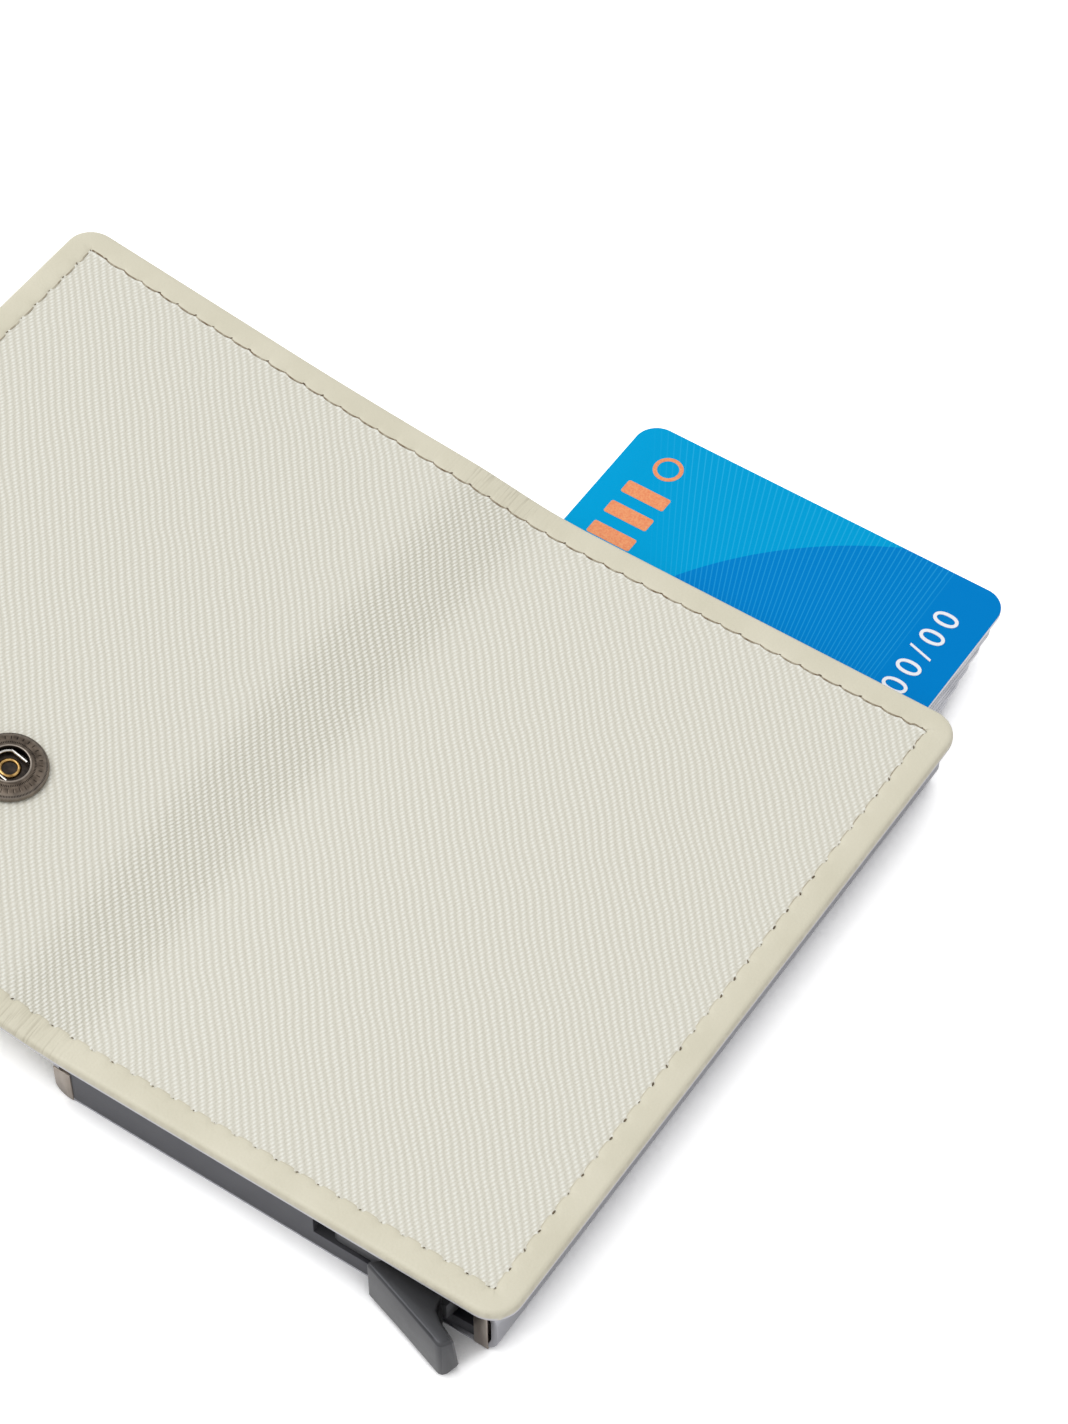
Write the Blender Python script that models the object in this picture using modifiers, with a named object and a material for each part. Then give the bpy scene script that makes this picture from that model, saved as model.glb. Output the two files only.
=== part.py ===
"""A pop-up card wallet, open: an aluminium card case with a leather wrap stuck on top of it.

+X is across the case, away from the wrap's free panel, +Y is the way the cards come out and +Z is
up. The origin is the middle of the case's flat underside. All lengths are in metres.
"""

import math

import bmesh
import bpy

# Cards, of the standard size that everything else is built round
CARD_WIDTH = 0.05398
CARD_LENGTH = 0.0856
CARD_THICKNESS = 0.00076
CARD_CORNER = 0.00318
CARD_GAP = 0.00014
CARD_COUNT = 6
CARD_HEADROOM = 0.0003
CARD_STAND_OUT = 0.00026

# Card case: an extruded tube, open at both ends, whose width, length and height follow the cards
CASE_WALL = 0.0008
CASE_CORNER = 0.0030

# Card guides, felt strips and the pad under the stack
RAIL_WIDTH = 0.0016
RAIL_SEAT = 0.0016
RAIL_FLOOR_GAP = 0.00022
RAIL_CORNER_ROOM = 0.0013
RAIL_END_GAP = 0.0008
RAIL_NEAR_GAP = 0.0003
FELT_THICKNESS = 0.00075
FELT_MARGIN = 0.0010
FELT_LENGTH = 0.0450
PAD_THICKNESS = 0.0015
PAD_MARGIN = 0.0070
PAD_GAP = 0.00021
SLIP_GAP = 0.00013

# Lever: a pin, a hub, a stepped arm for the cards and a fin for the finger
PIVOT_FROM_END = 0.0040
PIN_RADIUS = 0.0012
PIN_GAP = 0.0002
HUB_RADIUS = 0.0022
HUB_GAP = 0.0008
LEVER_SWING = math.radians(32)
LEVER_RISE = 0.00706
CAM_GAP = 0.0002
ARM_SIDE_ROOM = 0.0125
REACH_STEP_SHARE = 0.1035
ARM_TIP = 0.0015
ARM_RELIEF = 0.0001
ARM_SHOULDER = 0.0050
TOP_STEP_ROOT = 0.0070
STEP_OVERLAP = 0.0003
FIN_MARGIN = 0.0010
FIN_EDGE = 0.0004
FIN_STAND_OFF = 0.0023
FIN_DEPTH = 0.0041
FIN_LENGTH = 0.0137
FIN_LEFT = 0.0088
BAR_WIDTH = 0.0018
BAR_SIDE_GAP = 0.0002
BAR_END_GAP = 0.0022

# End block
BLOCK_INSET = 0.0005
BLOCK_WALL = 0.0014
BLOCK_DEPTH = 0.0097
BLOCK_FIT = 0.00015
BLOCK_CORNER_FIT = 0.0006
BLOCK_FLOOR = 0.00135
BLOCK_CHEEK = 0.0014
BLOCK_CHEEK_DEPTH = 0.0040
BRIDGE_THICKNESS = 0.00055
BRIDGE_WIDTH = 0.0084
BRIDGE_SETBACK = 0.0012
BRIDGE_DEPTH = 0.0072
POST_WIDTH = 0.0009
POST_DEPTH = 0.0042
SLOT_HEIGHT = 0.0032
SLOT_LEFT = 0.0179

# Wrap
WRAP_OVERHANG = 0.0019
WRAP_END_OVERHANG = 0.0018
WRAP_CORNER = 0.0038
WRAP_BORDER = 0.0036
WRAP_EDGE = 0.0006
LEATHER = 0.0008
BOARD = 0.0004
LINING = 0.0004
LINING_RECESS = 0.0001
PLY_GAP = 0.00005
PLY_SIDE_GAP = 0.00015
GLUE_THICKNESS = 0.00015
GLUE_MARGIN = 0.0040
FOLD_INSET = 0.0005
FOLD_GAP = 0.0003
SPINE_WIDTH = 0.0070
WRAP_TILT = math.radians(8.5)

# Snap
SNAP_FROM_FOLD = 0.0195
SNAP_FROM_END = 0.0276
SOCKET_RADIUS = 0.0048
SOCKET_HOLE = 0.0024
SOCKET_HEIGHT = 0.0013
SOCKET_RIM = 0.0005
SPRING_WIRE = 0.00022
RIVET_RADIUS = 0.0015
RIVET_HEAD = 0.0045
RIVET_HEAD_HEIGHT = 0.0007
RIVET_GAP = 0.0002
STUD_GAP = 0.00033
STUD_NECK = 0.0012
STUD_LENGTH = 0.00125
STUD_FLANGE = 0.0032
STUD_CAP = 0.0050
STUD_CAP_HEIGHT = 0.0010

# Note strap
STRAP_WIDTH = 0.0140
STRAP_END = 0.0080
STRAP_LEATHER = 0.0012
STRAP_LINING = 0.0004
STRAP_LINING_MARGIN = 0.0012
STRAP_ANCHOR = 0.0130
STRAP_AXIS_OUT = 0.0012
STRAP_CLEARANCE = 0.0003
STRAP_GAP = 0.0009
STRAP_DROOP = math.radians(12.5)

OVERRUN = 0.0010
MERGE = 0.000001
ARC_STEPS = 5
ROUND_STEPS = 28

# Places that several pieces share
card_spacing = CARD_THICKNESS + CARD_GAP
pad_top = CASE_WALL + SLIP_GAP + PAD_THICKNESS
card_top = pad_top + PAD_GAP + (CARD_COUNT - 1) * card_spacing + CARD_THICKNESS
inner_low = CASE_WALL
inner_high = card_top + CARD_HEADROOM
case_height = inner_high + CASE_WALL
mid_height = case_height / 2
rail_face = CARD_WIDTH / 2 + FELT_THICKNESS + 2 * SLIP_GAP
case_right = rail_face + RAIL_WIDTH + RAIL_SEAT
case_left = -case_right
case_far = (PIVOT_FROM_END + LEVER_RISE + CARD_LENGTH - CARD_STAND_OUT) / 2
case_near = -case_far
block_left = case_left + CASE_CORNER - BLOCK_CORNER_FIT
block_right = rail_face - RAIL_NEAR_GAP
pivot = (block_right - POST_WIDTH - HUB_GAP - HUB_RADIUS, case_near + PIVOT_FROM_END)
cards_in = pivot[1] + LEVER_RISE
longest_reach = pivot[0] - case_left - ARM_SIDE_ROOM
wrap_thickness = LEATHER + PLY_GAP + BOARD + PLY_GAP + LINING + LINING_RECESS
wrap_top = case_height + GLUE_THICKNESS + 2 * PLY_GAP + wrap_thickness
wrap_half = case_far + WRAP_END_OVERHANG
fold_x = case_left + FOLD_INSET
panel_width = case_right + WRAP_OVERHANG - fold_x
snap_y = SNAP_FROM_END - wrap_half
strap_surface = wrap_thickness / 2 + STRAP_CLEARANCE


def clear_scene():
    for old in list(bpy.data.objects):
        bpy.data.objects.remove(old)


def new_collection(name, shown):
    made = bpy.data.collections.new(name)
    bpy.context.scene.collection.children.link(made)
    made.hide_render = not shown
    return made


def new_material(name, colour, roughness, metallic=0.0):
    made = bpy.data.materials.new(name)
    made.use_nodes = True
    shader = made.node_tree.nodes["Principled BSDF"]
    shader.inputs["Base Color"].default_value = (*colour, 1.0)
    shader.inputs["Roughness"].default_value = roughness
    shader.inputs["Metallic"].default_value = metallic
    return made


def place(obj, material=None, parent=None, location=(0, 0, 0)):
    """Puts a finished piece in the wallet's collection, or a shape without a material with the cutters."""
    if material is None:
        cutters.objects.link(obj)
        obj.hide_render = True
        obj.display_type = "WIRE"
    else:
        wallet.objects.link(obj)
        obj.data.materials.append(material)
        obj.data.shade_smooth()
        obj.data.set_sharp_from_angle(angle=math.radians(35))
    obj.parent = parent
    obj.location = location
    return obj


def axis_empty(name, location, parent=None, turn=0.0):
    """An empty on a joint's axis, which runs along its own Y."""
    empty = bpy.data.objects.new(name, None)
    wallet.objects.link(empty)
    empty.parent = parent
    empty.location = location
    empty.rotation_euler.y = turn
    return empty


def rounded_box(x_low, x_high, y_low, y_high, left_radius, right_radius, steps=ARC_STEPS):
    """A box outline, anticlockwise, with one radius for its two left corners and one for its right."""
    corners = (
        (x_low + left_radius, y_low + left_radius, left_radius, 180),
        (x_high - right_radius, y_low + right_radius, right_radius, 270),
        (x_high - right_radius, y_high - right_radius, right_radius, 0),
        (x_low + left_radius, y_high - left_radius, left_radius, 90),
    )
    points = []
    for x, y, radius, start in corners:
        for step in range(steps + 1 if radius else 1):
            angle = math.radians(start + 90 * step / steps)
            points.append((x + radius * math.cos(angle), y + radius * math.sin(angle)))
    return points


def box(x_low, x_high, y_low, y_high):
    return rounded_box(x_low, x_high, y_low, y_high, 0, 0)


def circle(x, y, radius):
    turns = [math.tau * step / ROUND_STEPS for step in range(ROUND_STEPS)]
    return [(x + radius * math.cos(turn), y + radius * math.sin(turn)) for turn in turns]


def turned_about_origin(points, angle):
    cos, sin = math.cos(angle), math.sin(angle)
    return [(x * cos - y * sin, x * sin + y * cos) for x, y in points]


def slab(name, outlines, low, high):
    """A flat piece: a filled outline, with any holes, between two heights."""
    curve = bpy.data.curves.new(name, "CURVE")
    curve.dimensions = "2D"
    curve.fill_mode = "BOTH"
    curve.extrude = (high - low) / 2
    for outline in outlines:
        spline = curve.splines.new("POLY")
        spline.points.add(len(outline) - 1)
        spline.use_cyclic_u = True
        for point, (x, y) in zip(spline.points, outline):
            point.co = (x, y, 0, 1)
    guide = bpy.data.objects.new(name + "_outline", curve)
    bpy.context.scene.collection.objects.link(guide)
    guide.location.z = (low + high) / 2
    graph = bpy.context.evaluated_depsgraph_get()
    mesh = bpy.data.meshes.new_from_object(guide.evaluated_get(graph))
    mesh.transform(guide.evaluated_get(graph).matrix_world)
    bpy.data.objects.remove(guide)
    made = bmesh.new()
    made.from_mesh(mesh)
    bmesh.ops.remove_doubles(made, verts=made.verts, dist=MERGE)
    bmesh.ops.dissolve_limit(made, angle_limit=math.radians(1), verts=made.verts, edges=made.edges)
    bmesh.ops.recalc_face_normals(made, faces=made.faces)
    made.to_mesh(mesh)
    made.free()
    mesh.name = name
    return bpy.data.objects.new(name, mesh)


def turned(name, profile, closed):
    """A turned piece about Z. The profile runs down its outer side, and closed joins its two ends."""
    mesh = bpy.data.meshes.new(name)
    made = bmesh.new()
    points = [made.verts.new((radius, 0, z)) for radius, z in profile]
    for first, second in zip(points, points[1:]):
        made.edges.new((first, second))
    if closed:
        made.edges.new((points[-1], points[0]))
    made.to_mesh(mesh)
    made.free()
    obj = bpy.data.objects.new(name, mesh)
    screw = obj.modifiers.new("turn", "SCREW")
    screw.steps = ROUND_STEPS
    screw.render_steps = ROUND_STEPS
    screw.use_merge_vertices = True
    screw.merge_threshold = MERGE
    return obj


def combine(obj, other, operation):
    cut = obj.modifiers.new(other.name, "BOOLEAN")
    cut.operation = operation
    cut.object = other
    cut.solver = "EXACT"


def bevel(obj, width, segments=2):
    edge = obj.modifiers.new("edge", "BEVEL")
    edge.width = width
    edge.segments = segments
    edge.limit_method = "ANGLE"
    edge.angle_limit = math.radians(40)


def cut_hole(obj, x, y, radius, low, high, parent):
    """A round hole through a flat piece of the wrap, for the snap's rivet."""
    drill = slab(obj.name + "_hole", [circle(x, y, radius)], low - OVERRUN, high + OVERRUN)
    combine(obj, place(drill, parent=parent), "DIFFERENCE")


def lengthwise(name, outlines, y_low, y_high, material):
    """A piece with one section all along Y. The outlines are in X and Z."""
    obj = slab(name, outlines, -y_high, -y_low)
    place(obj, material)
    obj.rotation_euler.x = math.radians(90)
    return obj


def build_case():
    outer = rounded_box(case_left, case_right, 0, case_height, CASE_CORNER, CASE_CORNER)
    inner_corner = CASE_CORNER - CASE_WALL
    inner = rounded_box(
        case_left + CASE_WALL, case_right - CASE_WALL, inner_low, inner_high, inner_corner, inner_corner
    )
    lengthwise("case_shell", [outer, inner], case_near, case_far, anodised)


def guide_outline(face, back, floor_gap):
    """A guide's section: flat on its inner face, with its outer corners cut to clear the case's."""
    chamfer = CASE_CORNER - CASE_WALL - RAIL_CORNER_ROOM
    shoulder = back - math.copysign(chamfer, back - face)
    low, high = inner_low + floor_gap, inner_high - floor_gap
    return [
        (face, low),
        (shoulder, low),
        (back, low + chamfer),
        (back, high - chamfer),
        (shoulder, high),
        (face, high),
    ]


def build_guides():
    """The metal card guides, with felt on their inner faces, and the pad that lifts the stack.

    The left guide stops short of the arm's sweep, and goes on as a foot beside the end block."""
    far_end = case_far - RAIL_END_GAP
    arm_room = case_near + BLOCK_DEPTH + 2 * ARM_TIP
    felt_end = far_end - RAIL_WIDTH
    for side, name, start in ((-1, "left", arm_room), (1, "right", case_near + RAIL_NEAR_GAP)):
        section = guide_outline(side * rail_face, side * (rail_face + RAIL_WIDTH), RAIL_FLOOR_GAP)
        lengthwise("guide_rail_" + name, [section], start, far_end, steel)
        ends = sorted(side * (rail_face - SLIP_GAP - depth) for depth in (0, FELT_THICKNESS))
        section = box(*ends, inner_low + FELT_MARGIN, inner_high - FELT_MARGIN)
        lengthwise("felt_strip_" + name, [section], felt_end - FELT_LENGTH, felt_end, felt)
    foot = guide_outline(block_left - RAIL_NEAR_GAP, case_left + CASE_WALL + RAIL_NEAR_GAP, RAIL_NEAR_GAP)
    foot_near = case_near + RAIL_NEAR_GAP
    lengthwise("guide_foot_left", [foot], foot_near, foot_near + BLOCK_CHEEK_DEPTH, steel)
    side = rail_face - PAD_MARGIN
    outline = box(-side, side, felt_end - FELT_LENGTH, felt_end)
    place(slab("friction_pad", [outline], inner_low + SLIP_GAP, pad_top), felt)


def card_reach(index):
    """How far left of the pin the arm's step pushes a card. The top card is number 0."""
    return longest_reach * (1 - index * REACH_STEP_SHARE)


def card_low(index):
    return card_top - CARD_THICKNESS - index * card_spacing


def build_cards():
    """Six cards of the usual size, each as far out as its step of the arm has pushed it."""
    half = CARD_WIDTH / 2
    for index in range(CARD_COUNT):
        low = card_low(index)
        outline = rounded_box(-half, half, 0, CARD_LENGTH, CARD_CORNER, CARD_CORNER)
        card = slab("card_" + str(index + 1), [outline], low, low + CARD_THICKNESS)
        pushed = cards_in + card_reach(index) * LEVER_SWING
        place(card, card_plastic if index else top_card, location=(0, pushed, 0))


def cam_point(reach, turn):
    """A point of the step's edge, which pushes a card the same distance for each degree of turn."""
    height = LEVER_RISE - CAM_GAP + reach * turn
    return (
        -reach * math.cos(turn) - height * math.sin(turn),
        -reach * math.sin(turn) + height * math.cos(turn),
    )


def arm_outline(index):
    """One step of the arm about the pin, as it lies with the cards in, its edge an involute."""
    reach = card_reach(index)
    top = LEVER_RISE - CAM_GAP
    arc = [cam_point(reach, LEVER_SWING * step / ARC_STEPS) for step in range(ARC_STEPS + 1)]
    far_x, far_y = cam_point(longest_reach, LEVER_SWING)
    slope = (far_y - ARM_TIP + HUB_RADIUS - OVERRUN) / far_x

    def back(x):
        return OVERRUN - HUB_RADIUS + slope * x + ARM_RELIEF * index

    end_x = arc[-1][0]
    if index == 0:
        return [(-TOP_STEP_ROOT, top), *arc, (end_x, back(end_x)), (-TOP_STEP_ROOT, back(-TOP_STEP_ROOT))]
    neck = HUB_RADIUS - ARM_RELIEF * (index + 1)
    return [(0, neck), (-ARM_SHOULDER, top), *arc, (end_x, back(end_x)), (0, back(0))]


def fin_outline():
    """The fin in plan about the pin: a flat outer face, a round tip and a hollow inner side."""
    left = -FIN_LEFT
    near = -PIVOT_FROM_END - FIN_STAND_OFF
    outline_shares = (
        (0.00, 0.00),
        (0.40, -0.40),
        (0.86, -0.92),
        (0.93, -0.99),
        (0.99, -0.94),
        (1.00, -0.74),
        (0.96, -0.55),
        (0.81, -0.30),
        (0.73, -0.10),
        (0.70, 0.12),
        (0.69, 0.40),
        (0.10, 0.36),
        (0.02, 0.18),
    )
    return [(left + FIN_LENGTH * x, near + FIN_DEPTH * y) for x, y in outline_shares]


def bar_outline():
    """The lever between fin and hub, and the bar beside it that fills the slot."""
    face = BLOCK_INSET - PIVOT_FROM_END
    nose = BAR_WIDTH / 2
    left = BAR_END_GAP - SLOT_LEFT + nose
    bend = [math.radians(90 + 180 * step / ARC_STEPS) for step in range(ARC_STEPS + 1)]
    end = [(left + nose * math.cos(angle), face + nose + nose * math.sin(angle)) for angle in bend]
    fin_right = FIN_LENGTH - FIN_LEFT
    return [
        *end,
        (-FIN_LEFT + FIN_EDGE, face),
        (-FIN_LEFT + FIN_EDGE, face - FIN_STAND_OFF),
        (fin_right - FIN_DEPTH, face - FIN_STAND_OFF),
        (HUB_RADIUS - 2 * ARM_RELIEF, -ARM_RELIEF),
        (-ARM_RELIEF, HUB_RADIUS - ARM_RELIEF),
        (-FIN_LEFT, face + BAR_WIDTH),
    ]


def build_lever():
    """The lever turned as far as it goes, with the cards out. Its origin is on the pin's axis."""
    hub_low = card_low(CARD_COUNT - 1) - STEP_OVERLAP + PIN_GAP / 2
    hub_high = card_low(1) + card_spacing
    lever = slab("ejector_lever", [circle(0, 0, HUB_RADIUS)], hub_low, hub_high)
    place(lever, black_plastic, location=(*pivot, 0))
    shapes = []
    for index in reversed(range(CARD_COUNT)):
        low = card_low(index) - CARD_GAP / 2
        rise = card_spacing + (STEP_OVERLAP if index else 0)
        step = turned_about_origin(arm_outline(index), -LEVER_SWING)
        shapes.append(slab("arm_step_" + str(index + 1), [step], low, low + rise))
    bar_half = SLOT_HEIGHT / 2 - BAR_SIDE_GAP
    bar = slab("lever_bar", [bar_outline()], mid_height - bar_half, mid_height + bar_half)
    fin = slab("lever_fin", [fin_outline()], FIN_MARGIN, case_height - FIN_MARGIN)
    bevel(fin, FIN_EDGE)
    for shape in (*shapes, bar, fin):
        combine(lever, place(shape, parent=lever), "UNION")
    bore = slab("lever_bore", [circle(0, 0, PIN_RADIUS + PIN_GAP)], -OVERRUN, case_height + OVERRUN)
    combine(lever, place(bore, parent=lever), "DIFFERENCE")


def build_end_block():
    """The moulded block: a slotted end wall, a floor plate, and a bridge over the lever's hub."""
    left, right = block_left, block_right
    near = case_near + BLOCK_INSET
    low, high = inner_low + BLOCK_FIT, inner_high - BLOCK_FIT
    floor = low + BLOCK_FLOOR
    block = slab("end_block", [box(left, right, near, near + BLOCK_DEPTH)], low, floor)
    place(block, black_plastic)
    recess_left = pivot[0] - HUB_RADIUS - HUB_GAP
    wall = slab("block_wall", [box(left, recess_left, near, near + BLOCK_WALL)], low + MERGE, high)
    cheek = slab(
        "block_cheek",
        [box(left, left + BLOCK_CHEEK, near, near + BLOCK_CHEEK_DEPTH)],
        low + MERGE,
        high - PLY_GAP,
    )
    bridge_near = case_near + BRIDGE_SETBACK
    bridge = slab(
        "block_bridge",
        [box(right - BRIDGE_WIDTH, right, bridge_near, bridge_near + BRIDGE_DEPTH)],
        high - BRIDGE_THICKNESS,
        high - PLY_GAP,
    )
    post_far = bridge_near + BRIDGE_DEPTH
    post = slab(
        "block_post",
        [box(right - POST_WIDTH, right, post_far - POST_DEPTH, post_far)],
        low + BLOCK_FLOOR / 2,
        high - BRIDGE_THICKNESS / 2,
    )
    for shape in (wall, cheek, bridge, post):
        combine(block, place(shape), "UNION")
    slot = slab(
        "block_slot",
        [box(pivot[0] - SLOT_LEFT, recess_left + OVERRUN, near - OVERRUN, near + BLOCK_WALL + OVERRUN)],
        mid_height - SLOT_HEIGHT / 2,
        mid_height + SLOT_HEIGHT / 2,
    )
    pin_hole = slab("block_pin_hole", [circle(*pivot, PIN_RADIUS + PIN_GAP / 2)], -OVERRUN, case_height)
    for shape in (slot, pin_hole):
        combine(block, place(shape), "DIFFERENCE")
    pin = slab("pivot_pin", [circle(0, 0, PIN_RADIUS)], low, high)
    place(pin, steel, location=(*pivot, 0))


def leather_piece(name, x_low, x_high, borders, radii, parent):
    """A wrap leather about its fold line, its turned edge a raised border round a shallow pocket."""
    piece = slab(
        name, [rounded_box(x_low, x_high, -wrap_half, wrap_half, *radii)], -wrap_thickness, 0
    )
    place(piece, leather, parent)
    bevel(piece, WRAP_EDGE)
    low, high = pocket_ends(x_low, x_high, borders, -OVERRUN)
    inner = wrap_half - WRAP_BORDER
    pocket = slab(name + "_pocket", [box(low, high, -inner, inner)], LEATHER - wrap_thickness, OVERRUN)
    combine(piece, place(pocket, parent=parent), "DIFFERENCE")
    return piece


def pocket_ends(x_low, x_high, borders, open_gap):
    """Where the pocket, or a ply in it, ends: at a border, or at a fold with a gap to the next piece."""
    low = x_low + (WRAP_BORDER if borders[0] else open_gap)
    high = x_high - (WRAP_BORDER if borders[1] else open_gap)
    return low, high


def ply(name, x_low, x_high, borders, low, high, material, parent):
    """A flat layer that lies in a leather piece's pocket."""
    left, right = pocket_ends(x_low, x_high, borders, 0)
    inner = wrap_half - WRAP_BORDER - PLY_SIDE_GAP
    outline = box(left + PLY_SIDE_GAP * borders[0], right - PLY_SIDE_GAP * borders[1], -inner, inner)
    return place(slab(name, [outline], low, high), material, parent)


def build_wrap_part(name, x_low, x_high, borders, parent, stiff):
    """Leather, board where the part is stiff, and lining. A part's borders are 1 on a bordered side."""
    radii = [WRAP_CORNER * border for border in borders]
    pieces = [leather_piece("wrap_leather_" + name, x_low, x_high, borders, radii, parent)]
    board_low = LEATHER - wrap_thickness + PLY_GAP
    lining_low = board_low + BOARD + PLY_GAP
    if stiff:
        spot = ("wrap_board_" + name, x_low, x_high, borders, board_low, board_low + BOARD)
        pieces.append(ply(*spot, board, parent))
    spot = ("wrap_lining_" + name, x_low, x_high, borders, lining_low, lining_low + LINING)
    pieces.append(ply(*spot, lining, parent))
    return pieces


def build_wrap():
    """Two stiff panels and the soft spine between them, which bends up along its two edges."""
    case_side = axis_empty("wrap_seat", (fold_x, 0, wrap_top))
    spine_axis = axis_empty("spine_fold_axis", (fold_x, 0, wrap_top), turn=WRAP_TILT)
    cover_axis = axis_empty("cover_fold_axis", (-SPINE_WIDTH, 0, 0), parent=spine_axis)
    half_gap = FOLD_GAP / 2
    build_wrap_part("right", half_gap, panel_width, (0, 1), case_side, True)
    build_wrap_part("spine", half_gap - SPINE_WIDTH, -half_gap, (0, 0), spine_axis, False)
    pieces = build_wrap_part("left", -panel_width, -half_gap, (1, 0), cover_axis, True)
    for piece in pieces:
        hole = (-SNAP_FROM_FOLD, snap_y, RIVET_RADIUS + RIVET_GAP, -wrap_thickness, 0)
        cut_hole(piece, *hole, cover_axis)
    glue_low = case_height + PLY_GAP
    glue = slab(
        "adhesive_sheet",
        [
            box(
                case_left + GLUE_MARGIN,
                case_right - GLUE_MARGIN,
                case_near + GLUE_MARGIN,
                case_far - GLUE_MARGIN,
            )
        ],
        glue_low,
        glue_low + GLUE_THICKNESS,
    )
    place(glue, adhesive)
    return cover_axis


def build_socket(cover_axis):
    """The snap's socket: a ring on the lining, a wire spring in it, and a rivet from the leather side."""
    spot = (-SNAP_FROM_FOLD, snap_y, 0)
    shoulder = SOCKET_HOLE + SOCKET_RIM
    ring = [
        (SOCKET_HOLE, SOCKET_HEIGHT - SOCKET_RIM / 4),
        (SOCKET_HOLE + SOCKET_RIM / 2, SOCKET_HEIGHT),
        (shoulder, SOCKET_HEIGHT - SOCKET_RIM / 4),
        (shoulder + SOCKET_RIM / 2, SOCKET_HEIGHT - SOCKET_RIM),
        (SOCKET_RADIUS - SOCKET_RIM, SOCKET_HEIGHT - SOCKET_RIM),
        (SOCKET_RADIUS, SOCKET_HEIGHT / 3),
        (SOCKET_RADIUS, PLY_GAP),
        (SOCKET_HOLE, PLY_GAP),
    ]
    place(turned("snap_socket", ring, True), gunmetal, cover_axis, spot)
    curve = bpy.data.curves.new("snap_spring", "CURVE")
    curve.dimensions = "3D"
    curve.bevel_depth = SPRING_WIRE
    curve.bevel_resolution = 1
    curve.use_fill_caps = True
    spline = curve.splines.new("POLY")
    turns = [math.radians(20 + 320 * step / ROUND_STEPS) for step in range(ROUND_STEPS + 1)]
    spline.points.add(len(turns) - 1)
    radius = SOCKET_HOLE - SLIP_GAP - SPRING_WIRE
    for point, turn in zip(spline.points, turns):
        point.co = (radius * math.cos(turn), radius * math.sin(turn), 0, 1)
    spring = bpy.data.objects.new("snap_spring", curve)
    wallet.objects.link(spring)
    curve.materials.append(brass)
    spring.parent = cover_axis
    spring.location = (-SNAP_FROM_FOLD, snap_y, SOCKET_HEIGHT / 2)
    head_top = -wrap_thickness - PLY_GAP
    rivet = [
        (0, PLY_GAP),
        (RIVET_RADIUS, PLY_GAP),
        (RIVET_RADIUS, head_top),
        (RIVET_HEAD, head_top),
        (RIVET_HEAD, head_top - RIVET_HEAD_HEIGHT / 3),
        (RIVET_HEAD * 2 / 3, head_top - RIVET_HEAD_HEIGHT),
        (0, head_top - RIVET_HEAD_HEIGHT),
    ]
    place(turned("snap_rivet", rivet, False), gunmetal, cover_axis, spot)


def build_strap(cover_axis):
    """The note strap, sewn under the panel's outer edge, and the stud that snaps into the socket."""
    axis_x = -panel_width - STRAP_AXIS_OUT
    axis_z = -wrap_thickness / 2
    surface = axis_z - strap_surface
    low_y, high_y = snap_y - STRAP_WIDTH / 2, snap_y + STRAP_WIDTH / 2
    thickness = STRAP_LEATHER + PLY_GAP + STRAP_LINING
    anchor = slab(
        "strap_anchor", [box(axis_x, axis_x + STRAP_ANCHOR, low_y, high_y)], surface - thickness, surface
    )
    place(anchor, leather, cover_axis)
    turn = -STRAP_DROOP
    strap_axis = axis_empty("strap_fold_axis", (axis_x, 0, axis_z), parent=cover_axis, turn=turn)
    stud_x = axis_x + SNAP_FROM_FOLD
    tip = stud_x - STRAP_END
    top = -strap_surface
    lining_low = top - STRAP_LINING
    leather_high = lining_low - PLY_GAP
    leather_low = leather_high - STRAP_LEATHER
    round_end = STRAP_WIDTH / 2 - OVERRUN
    strap_outline = rounded_box(tip, -STRAP_GAP, low_y, high_y, round_end, 0)
    strap = slab("note_strap", [strap_outline], leather_low, leather_high)
    place(strap, leather, strap_axis)
    margin = STRAP_LINING_MARGIN
    facing_outline = rounded_box(
        tip + margin, -STRAP_GAP - margin, low_y + margin, high_y - margin, round_end - margin, 0
    )
    facing = slab("note_strap_lining", [facing_outline], lining_low, top)
    place(facing, lining, strap_axis)
    for piece in (strap, facing):
        cut_hole(piece, stud_x, snap_y, STUD_NECK + RIVET_GAP, leather_low, top, strap_axis)
    flange_low = top + PLY_GAP
    flange_high = flange_low + SOCKET_RIM / 2
    stud_head = SOCKET_HOLE - SLIP_GAP - 2 * SPRING_WIRE - STUD_GAP
    stud = [
        (0, top + STUD_LENGTH),
        (STUD_NECK, top + STUD_LENGTH),
        (stud_head, top + STUD_LENGTH - SOCKET_RIM / 2),
        (STUD_NECK, flange_high + SOCKET_RIM / 2),
        (STUD_NECK, flange_high),
        (STUD_FLANGE, flange_high - PLY_GAP),
        (STUD_FLANGE, flange_low),
        (STUD_NECK, flange_low),
        (STUD_NECK, leather_low + PLY_GAP),
        (0, leather_low + PLY_GAP),
    ]
    spot = (stud_x, snap_y, 0)
    place(turned("snap_stud", stud, False), gunmetal, strap_axis, spot)
    cap_top = leather_low - PLY_GAP
    cap = [
        (0, cap_top),
        (STUD_CAP, cap_top),
        (STUD_CAP, cap_top - STUD_CAP_HEIGHT / 3),
        (STUD_CAP * 4 / 5, cap_top - STUD_CAP_HEIGHT * 4 / 5),
        (STUD_CAP / 2, cap_top - STUD_CAP_HEIGHT),
        (0, cap_top - STUD_CAP_HEIGHT),
    ]
    place(turned("snap_stud_cap", cap, False), gunmetal, strap_axis, spot)


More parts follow.
